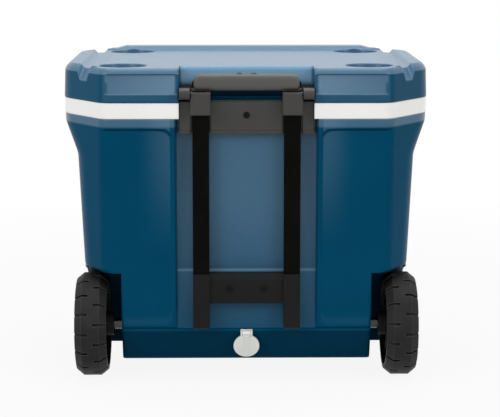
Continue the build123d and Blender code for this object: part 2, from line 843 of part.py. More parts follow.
def make_drain_pin():
    length = strap_width + 2 * (strap_gap + ear)
    return drain_cross(drain_pin_radius, length)


nodes = {
    "outer_shell": make_outer_shell(),
    "base_shell": make_base_shell(),
    "foam_core": make_foam_core(),
    "inner_liner": make_inner_liner(),
    "rim_band": make_rim_band(),
    "lid_shell": make_lid_shell(),
    "lid_foam": make_lid_foam(),
    "lid_liner": make_lid_liner(),
    "upper_bracket": make_upper_bracket(),
    "lower_bracket": make_lower_bracket(),
    "upper_bracket_screw": screw(0, plate_front, upper_screw_z),
    "lower_bracket_screws": Compound(children=[screw(x, cross_front, z) for x, z in lower_screws]),
    "handle_grip": make_handle_grip(),
    "grip_screws": make_grip_screws(),
    "lid_hinge_screws": make_leaf_screws(),
    "drain_spout": make_drain_spout(),
    "drain_gasket": drain_ring(0, gasket, flange_radius),
    "drain_nut": drain_ring(-sump_depth_in - nut_depth, -sump_depth_in, nut_radius),
    "drain_cap": make_drain_cap(),
    "drain_anchor": make_drain_anchor(),
    "drain_pin": make_drain_pin(),
}
pairs = {
    "front_foot": make_front_foot(),
    "handle_tube": make_handle_tube(),
    "inner_rail": make_inner_rail(),
    "tube_bush": make_tube_bush(),
    "rail_stop": make_rail_stop(),
    "lid_hinge": make_lid_hinge(),
    "hinge_pin": make_hinge_pin(),
    "wheel": make_wheel(),
    "axle": make_axle(),
    "axle_spacer": make_axle_spacer(),
    "axle_cap": make_axle_cap(),
}
for name, piece in pairs.items():
    nodes[name + "_right"] = piece
    nodes[name + "_left"] = mirror(piece, about=Plane.YZ)

os.makedirs("parts", exist_ok=True)
for name, piece in nodes.items():
    export_step(Pos(0, rear_y, 0) * piece, f"parts/{name}.step")
print(f"{len(nodes)} nodes, handle travel {travel:.1f} mm, rear plane y {rear_y:.2f}")
print(f"hinge axis y {rear_y + hinge_y:.2f} z {hinge_z:.2f}, drain tilt {degrees(face_tilt):.1f} degrees")
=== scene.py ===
import bmesh
import bpy
import json
import math
import numpy as np
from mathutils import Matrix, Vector


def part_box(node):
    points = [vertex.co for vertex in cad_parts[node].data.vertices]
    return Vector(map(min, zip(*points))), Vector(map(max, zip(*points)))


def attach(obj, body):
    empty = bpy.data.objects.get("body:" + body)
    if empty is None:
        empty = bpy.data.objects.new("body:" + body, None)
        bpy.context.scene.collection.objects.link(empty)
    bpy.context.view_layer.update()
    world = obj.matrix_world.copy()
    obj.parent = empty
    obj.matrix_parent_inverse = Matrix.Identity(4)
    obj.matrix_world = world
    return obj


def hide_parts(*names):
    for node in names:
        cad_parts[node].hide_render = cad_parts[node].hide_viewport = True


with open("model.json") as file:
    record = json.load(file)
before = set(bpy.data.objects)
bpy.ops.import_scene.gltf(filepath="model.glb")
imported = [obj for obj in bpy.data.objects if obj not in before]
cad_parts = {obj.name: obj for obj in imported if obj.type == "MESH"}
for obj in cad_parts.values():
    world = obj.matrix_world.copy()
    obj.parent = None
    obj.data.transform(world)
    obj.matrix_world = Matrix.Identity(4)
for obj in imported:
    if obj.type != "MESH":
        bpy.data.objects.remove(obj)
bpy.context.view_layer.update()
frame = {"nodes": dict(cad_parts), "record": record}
nodes = frame["nodes"]
print("frame loaded,", len(nodes), "nodes")


# materials: all read Object coordinates, in metres

def newMaterial(name):
    mat = bpy.data.materials.new(name)
    mat.use_nodes = True
    tree = mat.node_tree
    tree.nodes.clear()
    out = tree.nodes.new("ShaderNodeOutputMaterial")
    shader = tree.nodes.new("ShaderNodeBsdfPrincipled")
    tree.links.new(shader.outputs["BSDF"], out.inputs["Surface"])
    return mat, tree, shader


def noiseField(tree, scale, detail, stretch=(1, 1, 1)):
    coord = tree.nodes.new("ShaderNodeTexCoord")
    mapping = tree.nodes.new("ShaderNodeMapping")
    mapping.inputs["Scale"].default_value = stretch
    noise = tree.nodes.new("ShaderNodeTexNoise")
    noise.inputs["Scale"].default_value = scale
    noise.inputs["Detail"].default_value = detail
    tree.links.new(coord.outputs["Object"], mapping.inputs["Vector"])
    tree.links.new(mapping.outputs["Vector"], noise.inputs["Vector"])
    return noise.outputs["Fac"]


def spread(tree, field, low, high):
    # noise stays near the middle, so 0.3..0.7 is mapped to low..high
    ranged = tree.nodes.new("ShaderNodeMapRange")
    ranged.inputs["From Min"].default_value = 0.3
    ranged.inputs["From Max"].default_value = 0.7
    ranged.inputs["To Min"].default_value = low
    ranged.inputs["To Max"].default_value = high
    tree.links.new(field, ranged.inputs["Value"])
    return ranged.outputs["Result"]


def twoTone(tree, field, dark, light):
    ramp = tree.nodes.new("ShaderNodeValToRGB")
    ramp.color_ramp.elements[0].position = 0.3
    ramp.color_ramp.elements[1].position = 0.7
    ramp.color_ramp.elements[0].color = (*dark, 1)
    ramp.color_ramp.elements[1].color = (*light, 1)
    tree.links.new(field, ramp.inputs["Fac"])
    return ramp.outputs["Color"]


def bumpUp(tree, field, depth, strength, below=None):
    bump = tree.nodes.new("ShaderNodeBump")
    bump.inputs["Distance"].default_value = depth
    bump.inputs["Strength"].default_value = strength
    tree.links.new(field, bump.inputs["Height"])
    if below is not None:
        tree.links.new(below, bump.inputs["Normal"])
    return bump.outputs["Normal"]


def softEdge(tree, radius):
    bevel = tree.nodes.new("ShaderNodeBevel")
    bevel.samples = 6
    bevel.inputs["Radius"].default_value = radius
    return bevel.outputs["Normal"]


def paintedEdgeHighlight(tree, colour, normal, highlightColour):
    # painted edge highlights: where the softened normal turns away from the true one, the colour goes to the
    # highlight colour
    true = tree.nodes.new("ShaderNodeNewGeometry")
    dot = tree.nodes.new("ShaderNodeVectorMath")
    dot.operation = "DOT_PRODUCT"
    tree.links.new(normal, dot.inputs[0])
    tree.links.new(true.outputs["True Normal"], dot.inputs[1])
    mask = tree.nodes.new("ShaderNodeMapRange")
    mask.inputs["From Min"].default_value = 0.985
    mask.inputs["From Max"].default_value = 0.88
    tree.links.new(dot.outputs["Value"], mask.inputs["Value"])
    mixed = tree.nodes.new("ShaderNodeMixRGB")
    mixed.inputs["Color2"].default_value = (*highlightColour, 1)
    tree.links.new(mask.outputs["Result"], mixed.inputs["Fac"])
    tree.links.new(colour, mixed.inputs["Color1"])
    return mixed.outputs["Color"]


def mathNode(tree, operation, first, second):
    node = tree.nodes.new("ShaderNodeMath")
    node.operation = operation
    tree.links.new(first, node.inputs[0])
    if isinstance(second, (int, float)):
        node.inputs[1].default_value = second
    else:
        tree.links.new(second, node.inputs[1])
    return node.outputs["Value"]


def paintLightAndShade(tree, colour, shader, look):
    # painted light and shade: the attribute takes a face from the plain colour to a lighter, more specular one;
    # gain = max(a, 1) * (1 + min(a, 0)), a being the attribute, goes past either end: brighter above 1, darker
    # below 0
    paintedLight = tree.nodes.new("ShaderNodeAttribute")
    paintedLight.attribute_name = "paintedLight"
    mixed = tree.nodes.new("ShaderNodeMixRGB")
    mixed.inputs["Color2"].default_value = (*look["paintedLitColour"], 1)
    gloss = tree.nodes.new("ShaderNodeMapRange")
    gloss.inputs["To Min"].default_value = look["specular"]
    gloss.inputs["To Max"].default_value = look["paintedLitSpecular"]
    tree.links.new(paintedLight.outputs["Fac"], mixed.inputs["Fac"])
    tree.links.new(colour, mixed.inputs["Color1"])
    tree.links.new(paintedLight.outputs["Fac"], gloss.inputs["Value"])
    tree.links.new(gloss.outputs["Result"], shader.inputs["Specular IOR Level"])
    above = mathNode(tree, "MAXIMUM", paintedLight.outputs["Fac"], 1)
    below = mathNode(tree, "ADD", mathNode(tree, "MINIMUM", paintedLight.outputs["Fac"], 0), 1)
    scaled = tree.nodes.new("ShaderNodeVectorMath")
    scaled.operation = "SCALE"
    tree.links.new(mixed.outputs["Color"], scaled.inputs[0])
    tree.links.new(mathNode(tree, "MULTIPLY", above, below), scaled.inputs["Scale"])
    return scaled.outputs["Vector"]


def mouldedPlastic(name, look):
    # two shades in soft clouds, a waviness of the wall, and a fine grain;
    # where the look gives them, painted light and shade from an attribute and painted edge highlights
    mat, tree, shader = newMaterial(name)
    clouds = noiseField(tree, look["clouds"], 3)
    grain = noiseField(tree, look["grain"], 2)
    colour = twoTone(tree, clouds, look["dark"], look["light"])
    shader.inputs["Specular IOR Level"].default_value = look["specular"]
    if "paintedLitColour" in look:
        colour = paintLightAndShade(tree, colour, shader, look)
    normal = softEdge(tree, look["edge"])
    if "edgeHighlightColour" in look:
        colour = paintedEdgeHighlight(tree, colour, normal, look["edgeHighlightColour"])
    tree.links.new(colour, shader.inputs["Base Color"])
    tree.links.new(spread(tree, grain, *look["rough"]), shader.inputs["Roughness"])
    normal = bumpUp(tree, noiseField(tree, look["wave"], 1), look["waveDepth"], 0.5, normal)
    normal = bumpUp(tree, grain, look["grainDepth"], 0.6, normal)
    tree.links.new(normal, shader.inputs["Normal"])
    return mat


def brushedMetal(name, look):
    # streaks along one axis: the noise is stretched the other way
    mat, tree, shader = newMaterial(name)
    streaks = noiseField(tree, look["grain"], 2, look["stretch"])
    tree.links.new(twoTone(tree, streaks, look["dark"], look["light"]), shader.inputs["Base Color"])
    tree.links.new(spread(tree, streaks, *look["rough"]), shader.inputs["Roughness"])
    shader.inputs["Metallic"].default_value = look["metal"]
    shader.inputs["Specular IOR Level"].default_value = look["specular"]
    normal = softEdge(tree, look["edge"])
    normal = bumpUp(tree, streaks, look["grainDepth"], 0.5, normal)
    tree.links.new(normal, shader.inputs["Normal"])
    return mat


def cellFoam(name, look):
    # closed cells: a Voronoi pattern as bump and colour
    mat, tree, shader = newMaterial(name)
    coord = tree.nodes.new("ShaderNodeTexCoord")
    cells = tree.nodes.new("ShaderNodeTexVoronoi")
    cells.inputs["Scale"].default_value = look["cells"]
    tree.links.new(coord.outputs["Object"], cells.inputs["Vector"])
    field = cells.outputs["Distance"]
    tree.links.new(twoTone(tree, field, look["dark"], look["light"]), shader.inputs["Base Color"])
    shader.inputs["Roughness"].default_value = look["rough"]
    tree.links.new(bumpUp(tree, field, look["cellDepth"], 0.7), shader.inputs["Normal"])
    return mat


plastics = {
    # blue_shell's second, lighter colour and higher specular are painted light and sheen, blended in by an
    # attribute
    "blue_shell": {
        "dark": (0.0004, 0.060, 0.125), "light": (0.0008, 0.069, 0.143), "paintedLitColour": (0.105, 0.215, 0.325),
        "clouds": 6, "grain": 1100, "rough": (0.24, 0.32), "specular": 0.02, "paintedLitSpecular": 0.55,
        "edge": 0.0025, "wave": 16, "waveDepth": 0.0006, "grainDepth": 0.00006,
    },
    "white_liner": {
        "dark": (0.94, 0.945, 0.92), "light": (0.97, 0.975, 0.95),
        "clouds": 5, "grain": 900, "rough": (0.3, 0.4), "specular": 0.5,
        "edge": 0.003, "wave": 12, "waveDepth": 0.0005, "grainDepth": 0.00005,
    },
    "black_plastic": {
        "dark": (0.024, 0.023, 0.022), "light": (0.038, 0.036, 0.034),
        "clouds": 9, "grain": 1600, "rough": (0.42, 0.55), "specular": 0.45,
        "edge": 0.0012, "wave": 30, "waveDepth": 0.0002, "grainDepth": 0.00012,
    },
    "dark_plastic": {
        "dark": (0.005, 0.005, 0.0048), "light": (0.009, 0.009, 0.0085),
        "clouds": 9, "grain": 1600, "rough": (0.4, 0.5), "specular": 0.13,
        "edge": 0.0012, "wave": 30, "waveDepth": 0.0002, "grainDepth": 0.0001,
    },
    "grip_plastic": {
        "dark": (0.066, 0.065, 0.061), "light": (0.086, 0.084, 0.079),
        "clouds": 12, "grain": 1400, "rough": (0.45, 0.58), "specular": 0.45,
        "edge": 0.0008, "wave": 30, "waveDepth": 0.0002, "grainDepth": 0.00014,
    },
    "black_tube": {
        "dark": (0.002, 0.002, 0.0015), "light": (0.004, 0.004, 0.003),
        "clouds": 20, "grain": 2200, "rough": (0.3, 0.38), "specular": 0.03,
        "edge": 0.0008, "wave": 40, "waveDepth": 0.0001, "grainDepth": 0.00004,
    },
    # wheel_black's edge colour is a painted highlight along the edges of the tread blocks
    "wheel_black": {
        "dark": (0.008, 0.008, 0.008), "light": (0.018, 0.018, 0.018),
        "clouds": 30, "grain": 700, "rough": (0.5, 0.68), "specular": 0.2,
        "edge": 0.0016, "edgeHighlightColour": (0.09, 0.09, 0.09), "wave": 60, "waveDepth": 0.0003, "grainDepth": 0.0002,
    },
    "drain_white": {
        "dark": (0.93, 0.94, 0.89), "light": (0.97, 0.98, 0.93),
        "clouds": 30, "grain": 1500, "rough": (0.4, 0.5), "specular": 0.5,
        "edge": 0.0008, "wave": 60, "waveDepth": 0.0002, "grainDepth": 0.00006,
    },
    "gasket_rubber": {
        "dark": (0.01, 0.01, 0.01), "light": (0.018, 0.018, 0.018),
        "clouds": 40, "grain": 1800, "rough": (0.65, 0.8), "specular": 0.4,
        "edge": 0.0004, "wave": 80, "waveDepth": 0.0001, "grainDepth": 0.0001,
    },
    "glide_plastic": {
        "dark": (0.10, 0.10, 0.10), "light": (0.14, 0.14, 0.14),
        "clouds": 40, "grain": 1500, "rough": (0.45, 0.55), "specular": 0.5,
        "edge": 0.0006, "wave": 60, "waveDepth": 0.0001, "grainDepth": 0.00006,
    },
}
metals = {
    "rail_aluminium": {
        "dark": (0.50, 0.50, 0.51), "light": (0.64, 0.64, 0.65),
        "grain": 900, "stretch": (1, 1, 0.02), "rough": (0.28, 0.4), "metal": 1.0, "specular": 0.5,
        "edge": 0.0006, "grainDepth": 0.00003,
    },
    "steel": {
        "dark": (0.48, 0.48, 0.47), "light": (0.64, 0.64, 0.63),
        "grain": 1200, "stretch": (0.03, 1, 1), "rough": (0.22, 0.36), "metal": 1.0, "specular": 0.5,
        "edge": 0.0005, "grainDepth": 0.00003,
    },
    # dark_steel is painted shade and dark reflections on the axle spacers' steel
    "dark_steel": {
        "dark": (0.03, 0.03, 0.03), "light": (0.09, 0.09, 0.09),
        "grain": 900, "stretch": (0.05, 1, 1), "rough": (0.2, 0.32), "metal": 1.0, "specular": 0.5,
        "edge": 0.0005, "grainDepth": 0.00003,
    },
    "dark_screw": {
        "dark": (0.003, 0.003, 0.003), "light": (0.006, 0.006, 0.006),
        "grain": 1500, "stretch": (1, 0.1, 1), "rough": (0.2, 0.32), "metal": 0.0, "specular": 0.1,
        "edge": 0.0005, "grainDepth": 0.00002,
    },
}
foam = {"cells": 500, "cellDepth": 0.0006, "rough": 0.9,
        "dark": (0.62, 0.53, 0.30), "light": (0.75, 0.67, 0.44)}

finishes = {slotName: mouldedPlastic(slotName, look) for slotName, look in plastics.items()}
finishes.update({slotName: brushedMetal(slotName, look) for slotName, look in metals.items()})
finishes["insulation"] = cellFoam("insulation", foam)

slotOf = {part["node"]: part["material_slot"] for part in frame["record"]["subparts"]}
# same slots, but darker in the photograph
# on the hinge pins and axle spacers the darker finish is painted shade and dark reflections
darker = {"lower_bracket": "dark_plastic", "hinge_pin_left": "dark_screw", "hinge_pin_right": "dark_screw",
          "axle_spacer_left": "dark_steel", "axle_spacer_right": "dark_steel"}
for nodeName, nodeObject in nodes.items():
    nodeObject.data.materials.clear()
    nodeObject.data.materials.append(finishes[darker.get(nodeName, slotOf[nodeName])])
print("materials on", len(slotOf), "nodes")


# shapes: every piece is worked out in millimetres from the lid's rear edge, then put in the frame

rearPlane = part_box("lid_shell")[0][1]


def toFrame(points):
    # millimetres from the lid's rear edge to metres in the frame
    return points * 0.001 + np.array((0, rearPlane, 0))


def gridFaces(rows, cols, wrap=False):
    # quad (r, c) joins columns c and c+1 of rows r and r+1
    r, c = np.meshgrid(np.arange(rows - 1), np.arange(cols if wrap else cols - 1), indexing="ij")
    n = (c + 1) % cols
    quads = np.stack([r * cols + c, r * cols + n, (r + 1) * cols + n, (r + 1) * cols + c], axis=-1)
    return quads.reshape(-1, 4)


def sheet(grid, wrap=False):
    # a grid of points as one list of points and one of quads
    return grid.reshape(-1, 3), gridFaces(grid.shape[0], grid.shape[1], wrap)


def makePiece(name, patches, slotName, bodyName, replaced=(), finish=None, weld=1e-6):
    # patches are (points, quads); doubles are merged, then normals are turned outwards
    starts = np.cumsum([0] + [len(points) for points, quads in patches])
    points = toFrame(np.concatenate([points for points, quads in patches]))
    quads = np.concatenate([quads + start for (_, quads), start in zip(patches, starts)])
    mesh = bpy.data.meshes.new(name)
    mesh.from_pydata(points.tolist(), [], quads.tolist())
    work = bmesh.new()
    work.from_mesh(mesh)
    bmesh.ops.remove_doubles(work, verts=work.verts, dist=weld)
    bmesh.ops.dissolve_degenerate(work, edges=work.edges, dist=weld)
    bmesh.ops.recalc_face_normals(work, faces=work.faces)
    work.to_mesh(mesh)
    work.free()
    mesh.polygons.foreach_set("use_smooth", np.ones(len(mesh.polygons), dtype=bool))
    mesh.materials.append(finishes[finish or slotName])
    piece = bpy.data.objects.new(name, mesh)
    bpy.context.scene.collection.objects.link(piece)
    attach(piece, bodyName)
    if replaced:
        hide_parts(*replaced)
    return piece


def thicken(piece, wall):
    # a wall of the given thickness, inwards from the skin
    thick = piece.modifiers.new("wall", "SOLIDIFY")
    thick.thickness = wall * 0.001
    thick.offset = -1


def skinPoints(piece):
    # vertex places in millimetres from the lid's rear edge, and the upward part of each normal
    mesh = piece.data
    places = np.empty(len(mesh.vertices) * 3)
    normals = np.empty(len(mesh.vertices) * 3)
    mesh.vertices.foreach_get("co", places)
    mesh.vertices.foreach_get("normal", normals)
    places = (places.reshape(-1, 3) - np.array((0, rearPlane, 0))) * 1000
    return places[:, 0], places[:, 1], places[:, 2], normals.reshape(-1, 3)[:, 2]


def addPaintedLight(piece, values):
    # painted light and shade at each point: above 0 towards the lighter colour, past 1 brighter, below 0 darker
    layer = piece.data.attributes.new("paintedLight", "FLOAT", "POINT")
    layer.data.foreach_set("value", np.clip(values, -1, 3).astype(np.float32))


def smoothRamp(value, start, end):
    # 0 before start, 1 after end, an S curve between
    t = np.clip((value - start) / (end - start), 0, 1)
    return t * t * (3 - 2 * t)


def roundedRuns(at, knots, values, soft):
    # straight runs between the knots, averaged over a window, so that the corners round off
    shifts = np.linspace(-soft, soft, 9)
    return np.mean([np.interp(at + shift, knots, values) for shift in shifts], axis=0)


def boxDistance(a, b, halfA, halfB, radius):
    # signed distance from a rounded rectangle, negative inside
    overA = np.abs(a) - halfA + radius
    overB = np.abs(b) - halfB + radius
    outside = np.hypot(np.maximum(overA, 0), np.maximum(overB, 0))
    return outside + np.minimum(np.maximum(overA, overB), 0) - radius


def arc(centreX, centreY, radius, start, end, count):
    # points after the start angle up to the end angle, in degrees
    angle = np.radians(np.linspace(start, end, count + 1)[1:])
    return centreX + radius * np.cos(angle), centreY + radius * np.sin(angle)


def run(start, end, count):
    # fractions after the start up to the end
    return start + (end - start) * np.linspace(0, 1, count + 1)[1:]


facet = {"start": 222.0, "angle": math.radians(54.7), "crease": 25.0, "bend": 80.0}


def facetPath(f, half, rear, inset, startX, endY, share):
    # walk at constant speed along the rear face, the crease arc, the facet, the bend arc and the end face;
    # share is 0..1 of the way, and the heading turns from 0 on the rear face to 90 degrees on the end
    angle, other = f["angle"], math.pi / 2 - f["angle"]
    start = f["start"] - inset * math.tan(angle / 2)
    width = half - inset - start
    room = width / math.cos(angle)
    crease = np.minimum(f["crease"] - inset, room / 3 / math.tan(angle / 2))
    bend = np.minimum(f["bend"] - inset, room / 2 / math.tan(other / 2))
    cut = crease * math.tan(angle / 2)
    flat = room - cut - bend * math.tan(other / 2)
    sideY = rear + inset + width * math.tan(angle) + bend * math.tan(other / 2)
    first = np.maximum(start - cut - startX, 0)
    last = endY - sideY
    s = share * (first + crease * angle + flat + bend * other + last)
    turnA = np.clip((s - first) / crease, 0, angle)
    s2 = s - first - crease * angle
    along = np.clip(s2, 0, flat)
    turnB = np.clip((s2 - flat) / bend, 0, other)
    tail = np.maximum(s2 - flat - bend * other, 0)
    x = start - cut - first + np.clip(s, 0, first) + crease * np.sin(turnA) + along * math.cos(angle)
    x = x + bend * (np.sin(angle + turnB) - math.sin(angle))
    y = rear + inset + crease * (1 - np.cos(turnA)) + along * math.sin(angle)
    y = y + bend * (math.cos(angle) - np.cos(angle + turnB)) + tail
    return x, y, turnA + turnB


def facetLimit(f, half, rear, y):
    # x of the same outline at a given y beyond the crease: the facet's line, then the bend arc
    angle, other = f["angle"], math.pi / 2 - f["angle"]
    width = half - f["start"]
    bend = np.minimum(f["bend"], width / math.cos(angle) / 2 / math.tan(other / 2))
    back = np.clip(rear + width * math.tan(angle) + bend * math.tan(other / 2) - y, 0, bend)
    onArc = half - bend + np.sqrt(bend ** 2 - back ** 2)
    return np.where(back < bend * math.cos(angle), onArc, f["start"] + (y - rear) / math.tan(angle))


def roundedBlock(low, high, radius, steps=4):
    # box plus ball: each direction n of a sphere gives corner(sign n) + radius * n;
    # the edges of the octants are doubled
    low = np.array(low, float)
    high = np.array(high, float)
    quarter = np.linspace(0, 90, steps + 1)
    turn = np.radians(np.concatenate([quarter + 90 * k for k in range(4)]))
    rise = np.radians(np.concatenate([quarter - 90, quarter]))
    signX = np.repeat([1, -1, -1, 1], steps + 1)
    signY = np.repeat([1, 1, -1, -1], steps + 1)
    signZ = np.repeat([-1, 1], steps + 1)
    lat, lon = np.meshgrid(rise, turn, indexing="ij")
    normal = np.stack([np.cos(lat) * np.cos(lon), np.cos(lat) * np.sin(lon), np.sin(lat)], axis=-1)
    sign = np.stack(np.broadcast_arrays(signX[None, :], signY[None, :], signZ[:, None]), axis=-1)
    middle = (low + high) / 2
    half = (high - low) / 2 - radius
    return sheet(middle + sign * half + radius * normal, wrap=True)


# body shell: one outline for each height, all with the same number of points

body = {
    "half": 290.0, "depth": 445.0,
    "heights": [30.0, 84.0, 358.0, 408.0, 425.0],
    "endIn": [41.0, 35.1, 22.2, 1.5, 1.5],
    "faceIn": [43.0, 22.0, 5.0, 0.5, 0.5],
    "sideFrom": 125.0,
    "soft": 5.0, "footRound": 7.0, "top": 421.0, "topRound": 1.6,
    "stepGroove": 1.8, "stepWide": 1.6,
    "wellX": 197.5, "wellRadius": 92.0, "axleY": 70.0, "axleZ": 82.5, "wellEdge": 6.0, "wellFold": 9.0,
    "roofRound": 8.0, "flatTo": 180.0, "spineHalf": 100.0,
    "recessHalf": 110.0, "recessDepth": 24.0, "recessFoot": 86.0, "recessEdge": 3.2, "recessRound": 4.0,
    "grooveZ": 181.5, "grooveDepth": 1.4, "grooveWide": 2.0,
    "panelInner": 117.0, "panelTop": 404.0, "panelFoot": 96.0, "panelHead": 4.0, "panelBase": 23.0,
    "panelRound": 14.0, "panelEdge": 3.4,
    "holdX": 261.5, "holdY": 222.5, "holdHalf": 65.0, "holdLow": 350.0, "holdHigh": 403.0, "holdRound": 14.0,
    "footX": 165.0, "footHalf": 45.0, "footRear": 320.0, "footFront": 380.0, "footEdge": 4.0,
    "wall": 3.0,
    # a painted highlight on the panels beside the recess, and a recess lighter towards its top
    # painted light and shade: lighter up-facing faces, darker down-facing ones, a lighter rim strip,
    "paintedTopLight": 0.55, "paintedUndersideShade": -0.42, "paintedStripLight": 0.42,
    "paintedPanelHighlight": 0.22, "besideOut": 170.0, "besideFoot": 200.0,
    "recessPaintedLightZ": [90.0, 190.0, 290.0], "recessPaintedLight": [0.12, 0.28, 0.44],
}


def bodyRows(b):
    # heights of the outlines and how far each is drawn in;
    # share is 0 under the wheel arch's roof, 1 above it, and between them across the roof
    bend = np.radians(np.linspace(0, 90, 7))
    foot = b["heights"][0] + b["footRound"] * (1 - np.cos(bend))
    footIn = b["footRound"] * (1 - np.sin(bend))
    roof = b["axleZ"] + b["wellRadius"]
    archAngle = np.radians(np.linspace(6, 90, 20))
    arch = b["axleZ"] + b["wellRadius"] * np.sin(archAngle)
    # close rows at the step, at the hand-holds' lower edge, and from the panels' upper edge over the rim strip
    step, hold, panel = b["heights"][1], b["holdLow"], b["panelTop"]
    strip = panel + np.array([-3, -2, -1.3, -0.9, -0.5, 0, 0.6, 1.3, 2, 3, 4, 5, 6, 8, 11, 14])
    lower = np.concatenate([foot, run(b["heights"][0] + 10, step - 5, 5), step + np.arange(-4, 7),
                            arch[arch > step + 7.5]])
    roofShare = np.concatenate([[0.35, 0.7, 0.85], 0.85 + 0.15 * np.sin(bend)])
    roofZ = roof + np.concatenate([[0.1, 0.2, 0.3], 0.3 + b["roofRound"] * (1 - np.cos(bend))])
    upper = np.concatenate([run(roofZ[-1], hold - 4, 16), hold + np.arange(-3, 4), run(hold + 3, panel - 4, 14),
                            strip])
    lip = b["top"] - b["topRound"] * (1 - np.sin(bend))
    lipIn = b["topRound"] * (1 - np.cos(bend))
    z = np.concatenate([lower, roofZ, upper, lip])
    drawn = np.zeros(len(z))
    drawn[:len(foot)] = footIn
    drawn[-len(lip):] = lipIn
    share = np.concatenate([np.zeros(len(lower)), roofShare, np.ones(len(upper) + len(lip))])
    return z, drawn, share


def bodyHalf(b):
    # right half of every outline, from the middle of the rear to the middle of the front
    z, drawn, share = bodyRows(b)
    groove = b["stepGroove"] * np.exp(-((z - b["heights"][1]) / b["stepWide"]) ** 2)
    endX = b["half"] - roundedRuns(z, b["heights"], b["endIn"], b["soft"]) - drawn - groove
    rear = roundedRuns(z, b["heights"], b["faceIn"], b["soft"]) + drawn + groove
    front = b["depth"] - rear
    endX, rear, front, z2 = (v[:, None] for v in (endX, rear, front, z))
    # rear face, with close columns beside the recess and the panels
    recess, panel = b["recessHalf"], b["panelInner"]
    flat = np.concatenate([np.linspace(0, recess - 10, 15), np.arange(recess - 6, panel + 7),
                           np.linspace(panel + 9, b["flatTo"], 9)])
    rearX = np.broadcast_to(flat, (len(z), len(flat)))
    rearY = np.broadcast_to(rear, rearX.shape)
    # wheel arch: into the well and out again
    wx, edge, fold = b["wellX"], b["wellEdge"], b["wellFold"]
    up = np.clip((z2 - b["axleZ"]) / b["wellRadius"], 0, 1)
    archY = b["axleY"] + b["wellRadius"] * np.sqrt(1 - up * up)
    one = np.ones_like(rear)
    x1, y1 = arc(one * (wx - edge), rear + edge, edge, -90, 0, 7)
    x2, y2 = arc(one * (wx + fold), archY - fold, fold, 180, 90, 6)
    x3, y3 = arc(endX - edge, archY + edge, edge, -90, 0, 7)
    x3 = np.minimum(x3, facetLimit(facet, endX, rear, y3))
    inX = [one * run(flat[-1], wx - edge, 2), x1, one * (wx + 0 * run(0, 1, 10)), x2,
           run(wx + fold, endX - edge, 8), x3]
    inY = [rear + 0 * run(0, 1, 2), y1, run(rear + edge, archY - fold, 10), y2, archY + 0 * run(0, 1, 8), y3]
    wellX = np.concatenate(inX, axis=1)
    wellY = np.concatenate(inY, axis=1)
    # the same columns along the faceted corner
    outX, outY, _ = facetPath(facet, endX, rear, 0, flat[-1], b["sideFrom"], run(0, 1, wellX.shape[1]))
    mix = share[:, None]
    cornerX = wellX * (1 - mix) + outX * mix
    cornerY = wellY * (1 - mix) + outY * mix
    # end face with close columns at the hand-hold's ends, front corner, front face
    beginY = cornerY[:, -1:]
    spots = np.concatenate([[0.07], np.linspace(0.14, 0.25, 15), np.linspace(0.3, 0.7, 7),
                            np.linspace(0.75, 0.86, 15), [0.93, 1.0]])
    sideY = beginY + (b["depth"] - b["sideFrom"] - beginY) * spots
    sideX = np.minimum(endX, facetLimit(facet, endX, rear, sideY))
    x4, y4, _ = facetPath(facet, endX, rear, 0, flat[-1], b["sideFrom"], run(1, 0, 36))
    frontX = flat[-1] * np.linspace(1, 0, 18)[1:] + 0 * endX
    frontY = front + 0 * frontX
    x = np.concatenate([rearX, cornerX, sideX, x4, frontX], axis=1)
    y = np.concatenate([rearY, cornerY, sideY, b["depth"] - y4, frontY], axis=1)
    return x, y, z2 + 0 * x


def softOver(gap, soft=0.6):
    # the gap where it is positive, about 0 where it is negative, and a hyperbola between:
    # (gap + sqrt(gap^2 + soft)) / 2
    return (gap + np.sqrt(gap * gap + soft)) / 2 * (gap > -4)


def bodyRelief(b, x, y, z):
    # handle recess, drafted panels and hand-holds, pressed into the outlines through soft-edged windows
    floor = b["recessDepth"] + b["grooveDepth"] * np.exp(-((z - b["grooveZ"]) / b["grooveWide"]) ** 2)
    tall = 2 * b["top"]
    middle = b["recessFoot"] + tall / 2
    inside = boxDistance(x, z - middle, b["recessHalf"], tall / 2, b["recessRound"])
    recess = smoothRamp(-inside, -b["recessEdge"] / 2, b["recessEdge"] / 2)
    down = (b["panelTop"] - z) / (b["panelTop"] - b["heights"][1])
    plane = b["panelHead"] + (b["panelBase"] - b["panelHead"]) * down
    middleX = b["panelInner"] + b["half"]
    middleZ = (b["panelTop"] + b["panelFoot"]) / 2
    panelHalf = (b["panelTop"] - b["panelFoot"]) / 2
    inside = boxDistance(x - middleX, z - middleZ, b["half"], panelHalf, b["panelRound"])
    panel = smoothRamp(-inside, -b["panelEdge"] / 2, b["panelEdge"] / 2)
    inside = boxDistance(x, z - middleZ, 2 * b["half"], panelHalf, b["panelRound"])
    frontPanel = smoothRamp(-inside, -b["panelEdge"] / 2, b["panelEdge"] / 2)
    y = y + panel * softOver(plane - y)
    y = y - frontPanel * softOver(plane - (b["depth"] - y))
    y = y + recess * np.maximum(floor - y, 0)
    inside = boxDistance(y - b["holdY"], z - (b["holdLow"] + b["holdHigh"]) / 2, b["holdHalf"],
                         (b["holdHigh"] - b["holdLow"]) / 2, b["holdRound"])
    hold = smoothRamp(-inside, -0.6, 1.6)
    x = x - hold * np.maximum(x - b["holdX"], 0)
    return x, y


def bodyGrid(b):
    # right halves mirrored into closed outlines, one above the other
    x, y, z = bodyHalf(b)
    x, y = bodyRelief(b, x, y, z)
    right = np.stack([x, y, z], axis=-1)
    left = right[:, -2:0:-1] * np.array((-1, 1, 1))
    ring = np.concatenate([right, left], axis=1)
    # underside: the lowest outline drawn in to a short line along the middle
    share = np.linspace(0, 1, 7)[:-1, None, None]
    spine = ring[0].copy()
    spine[:, 0] = np.clip(spine[:, 0], -b["spineHalf"], b["spineHalf"])
    spine[:, 1] = b["depth"] / 2
    under = spine + share * (ring[0] - spine)
    return np.concatenate([under, ring], axis=0)


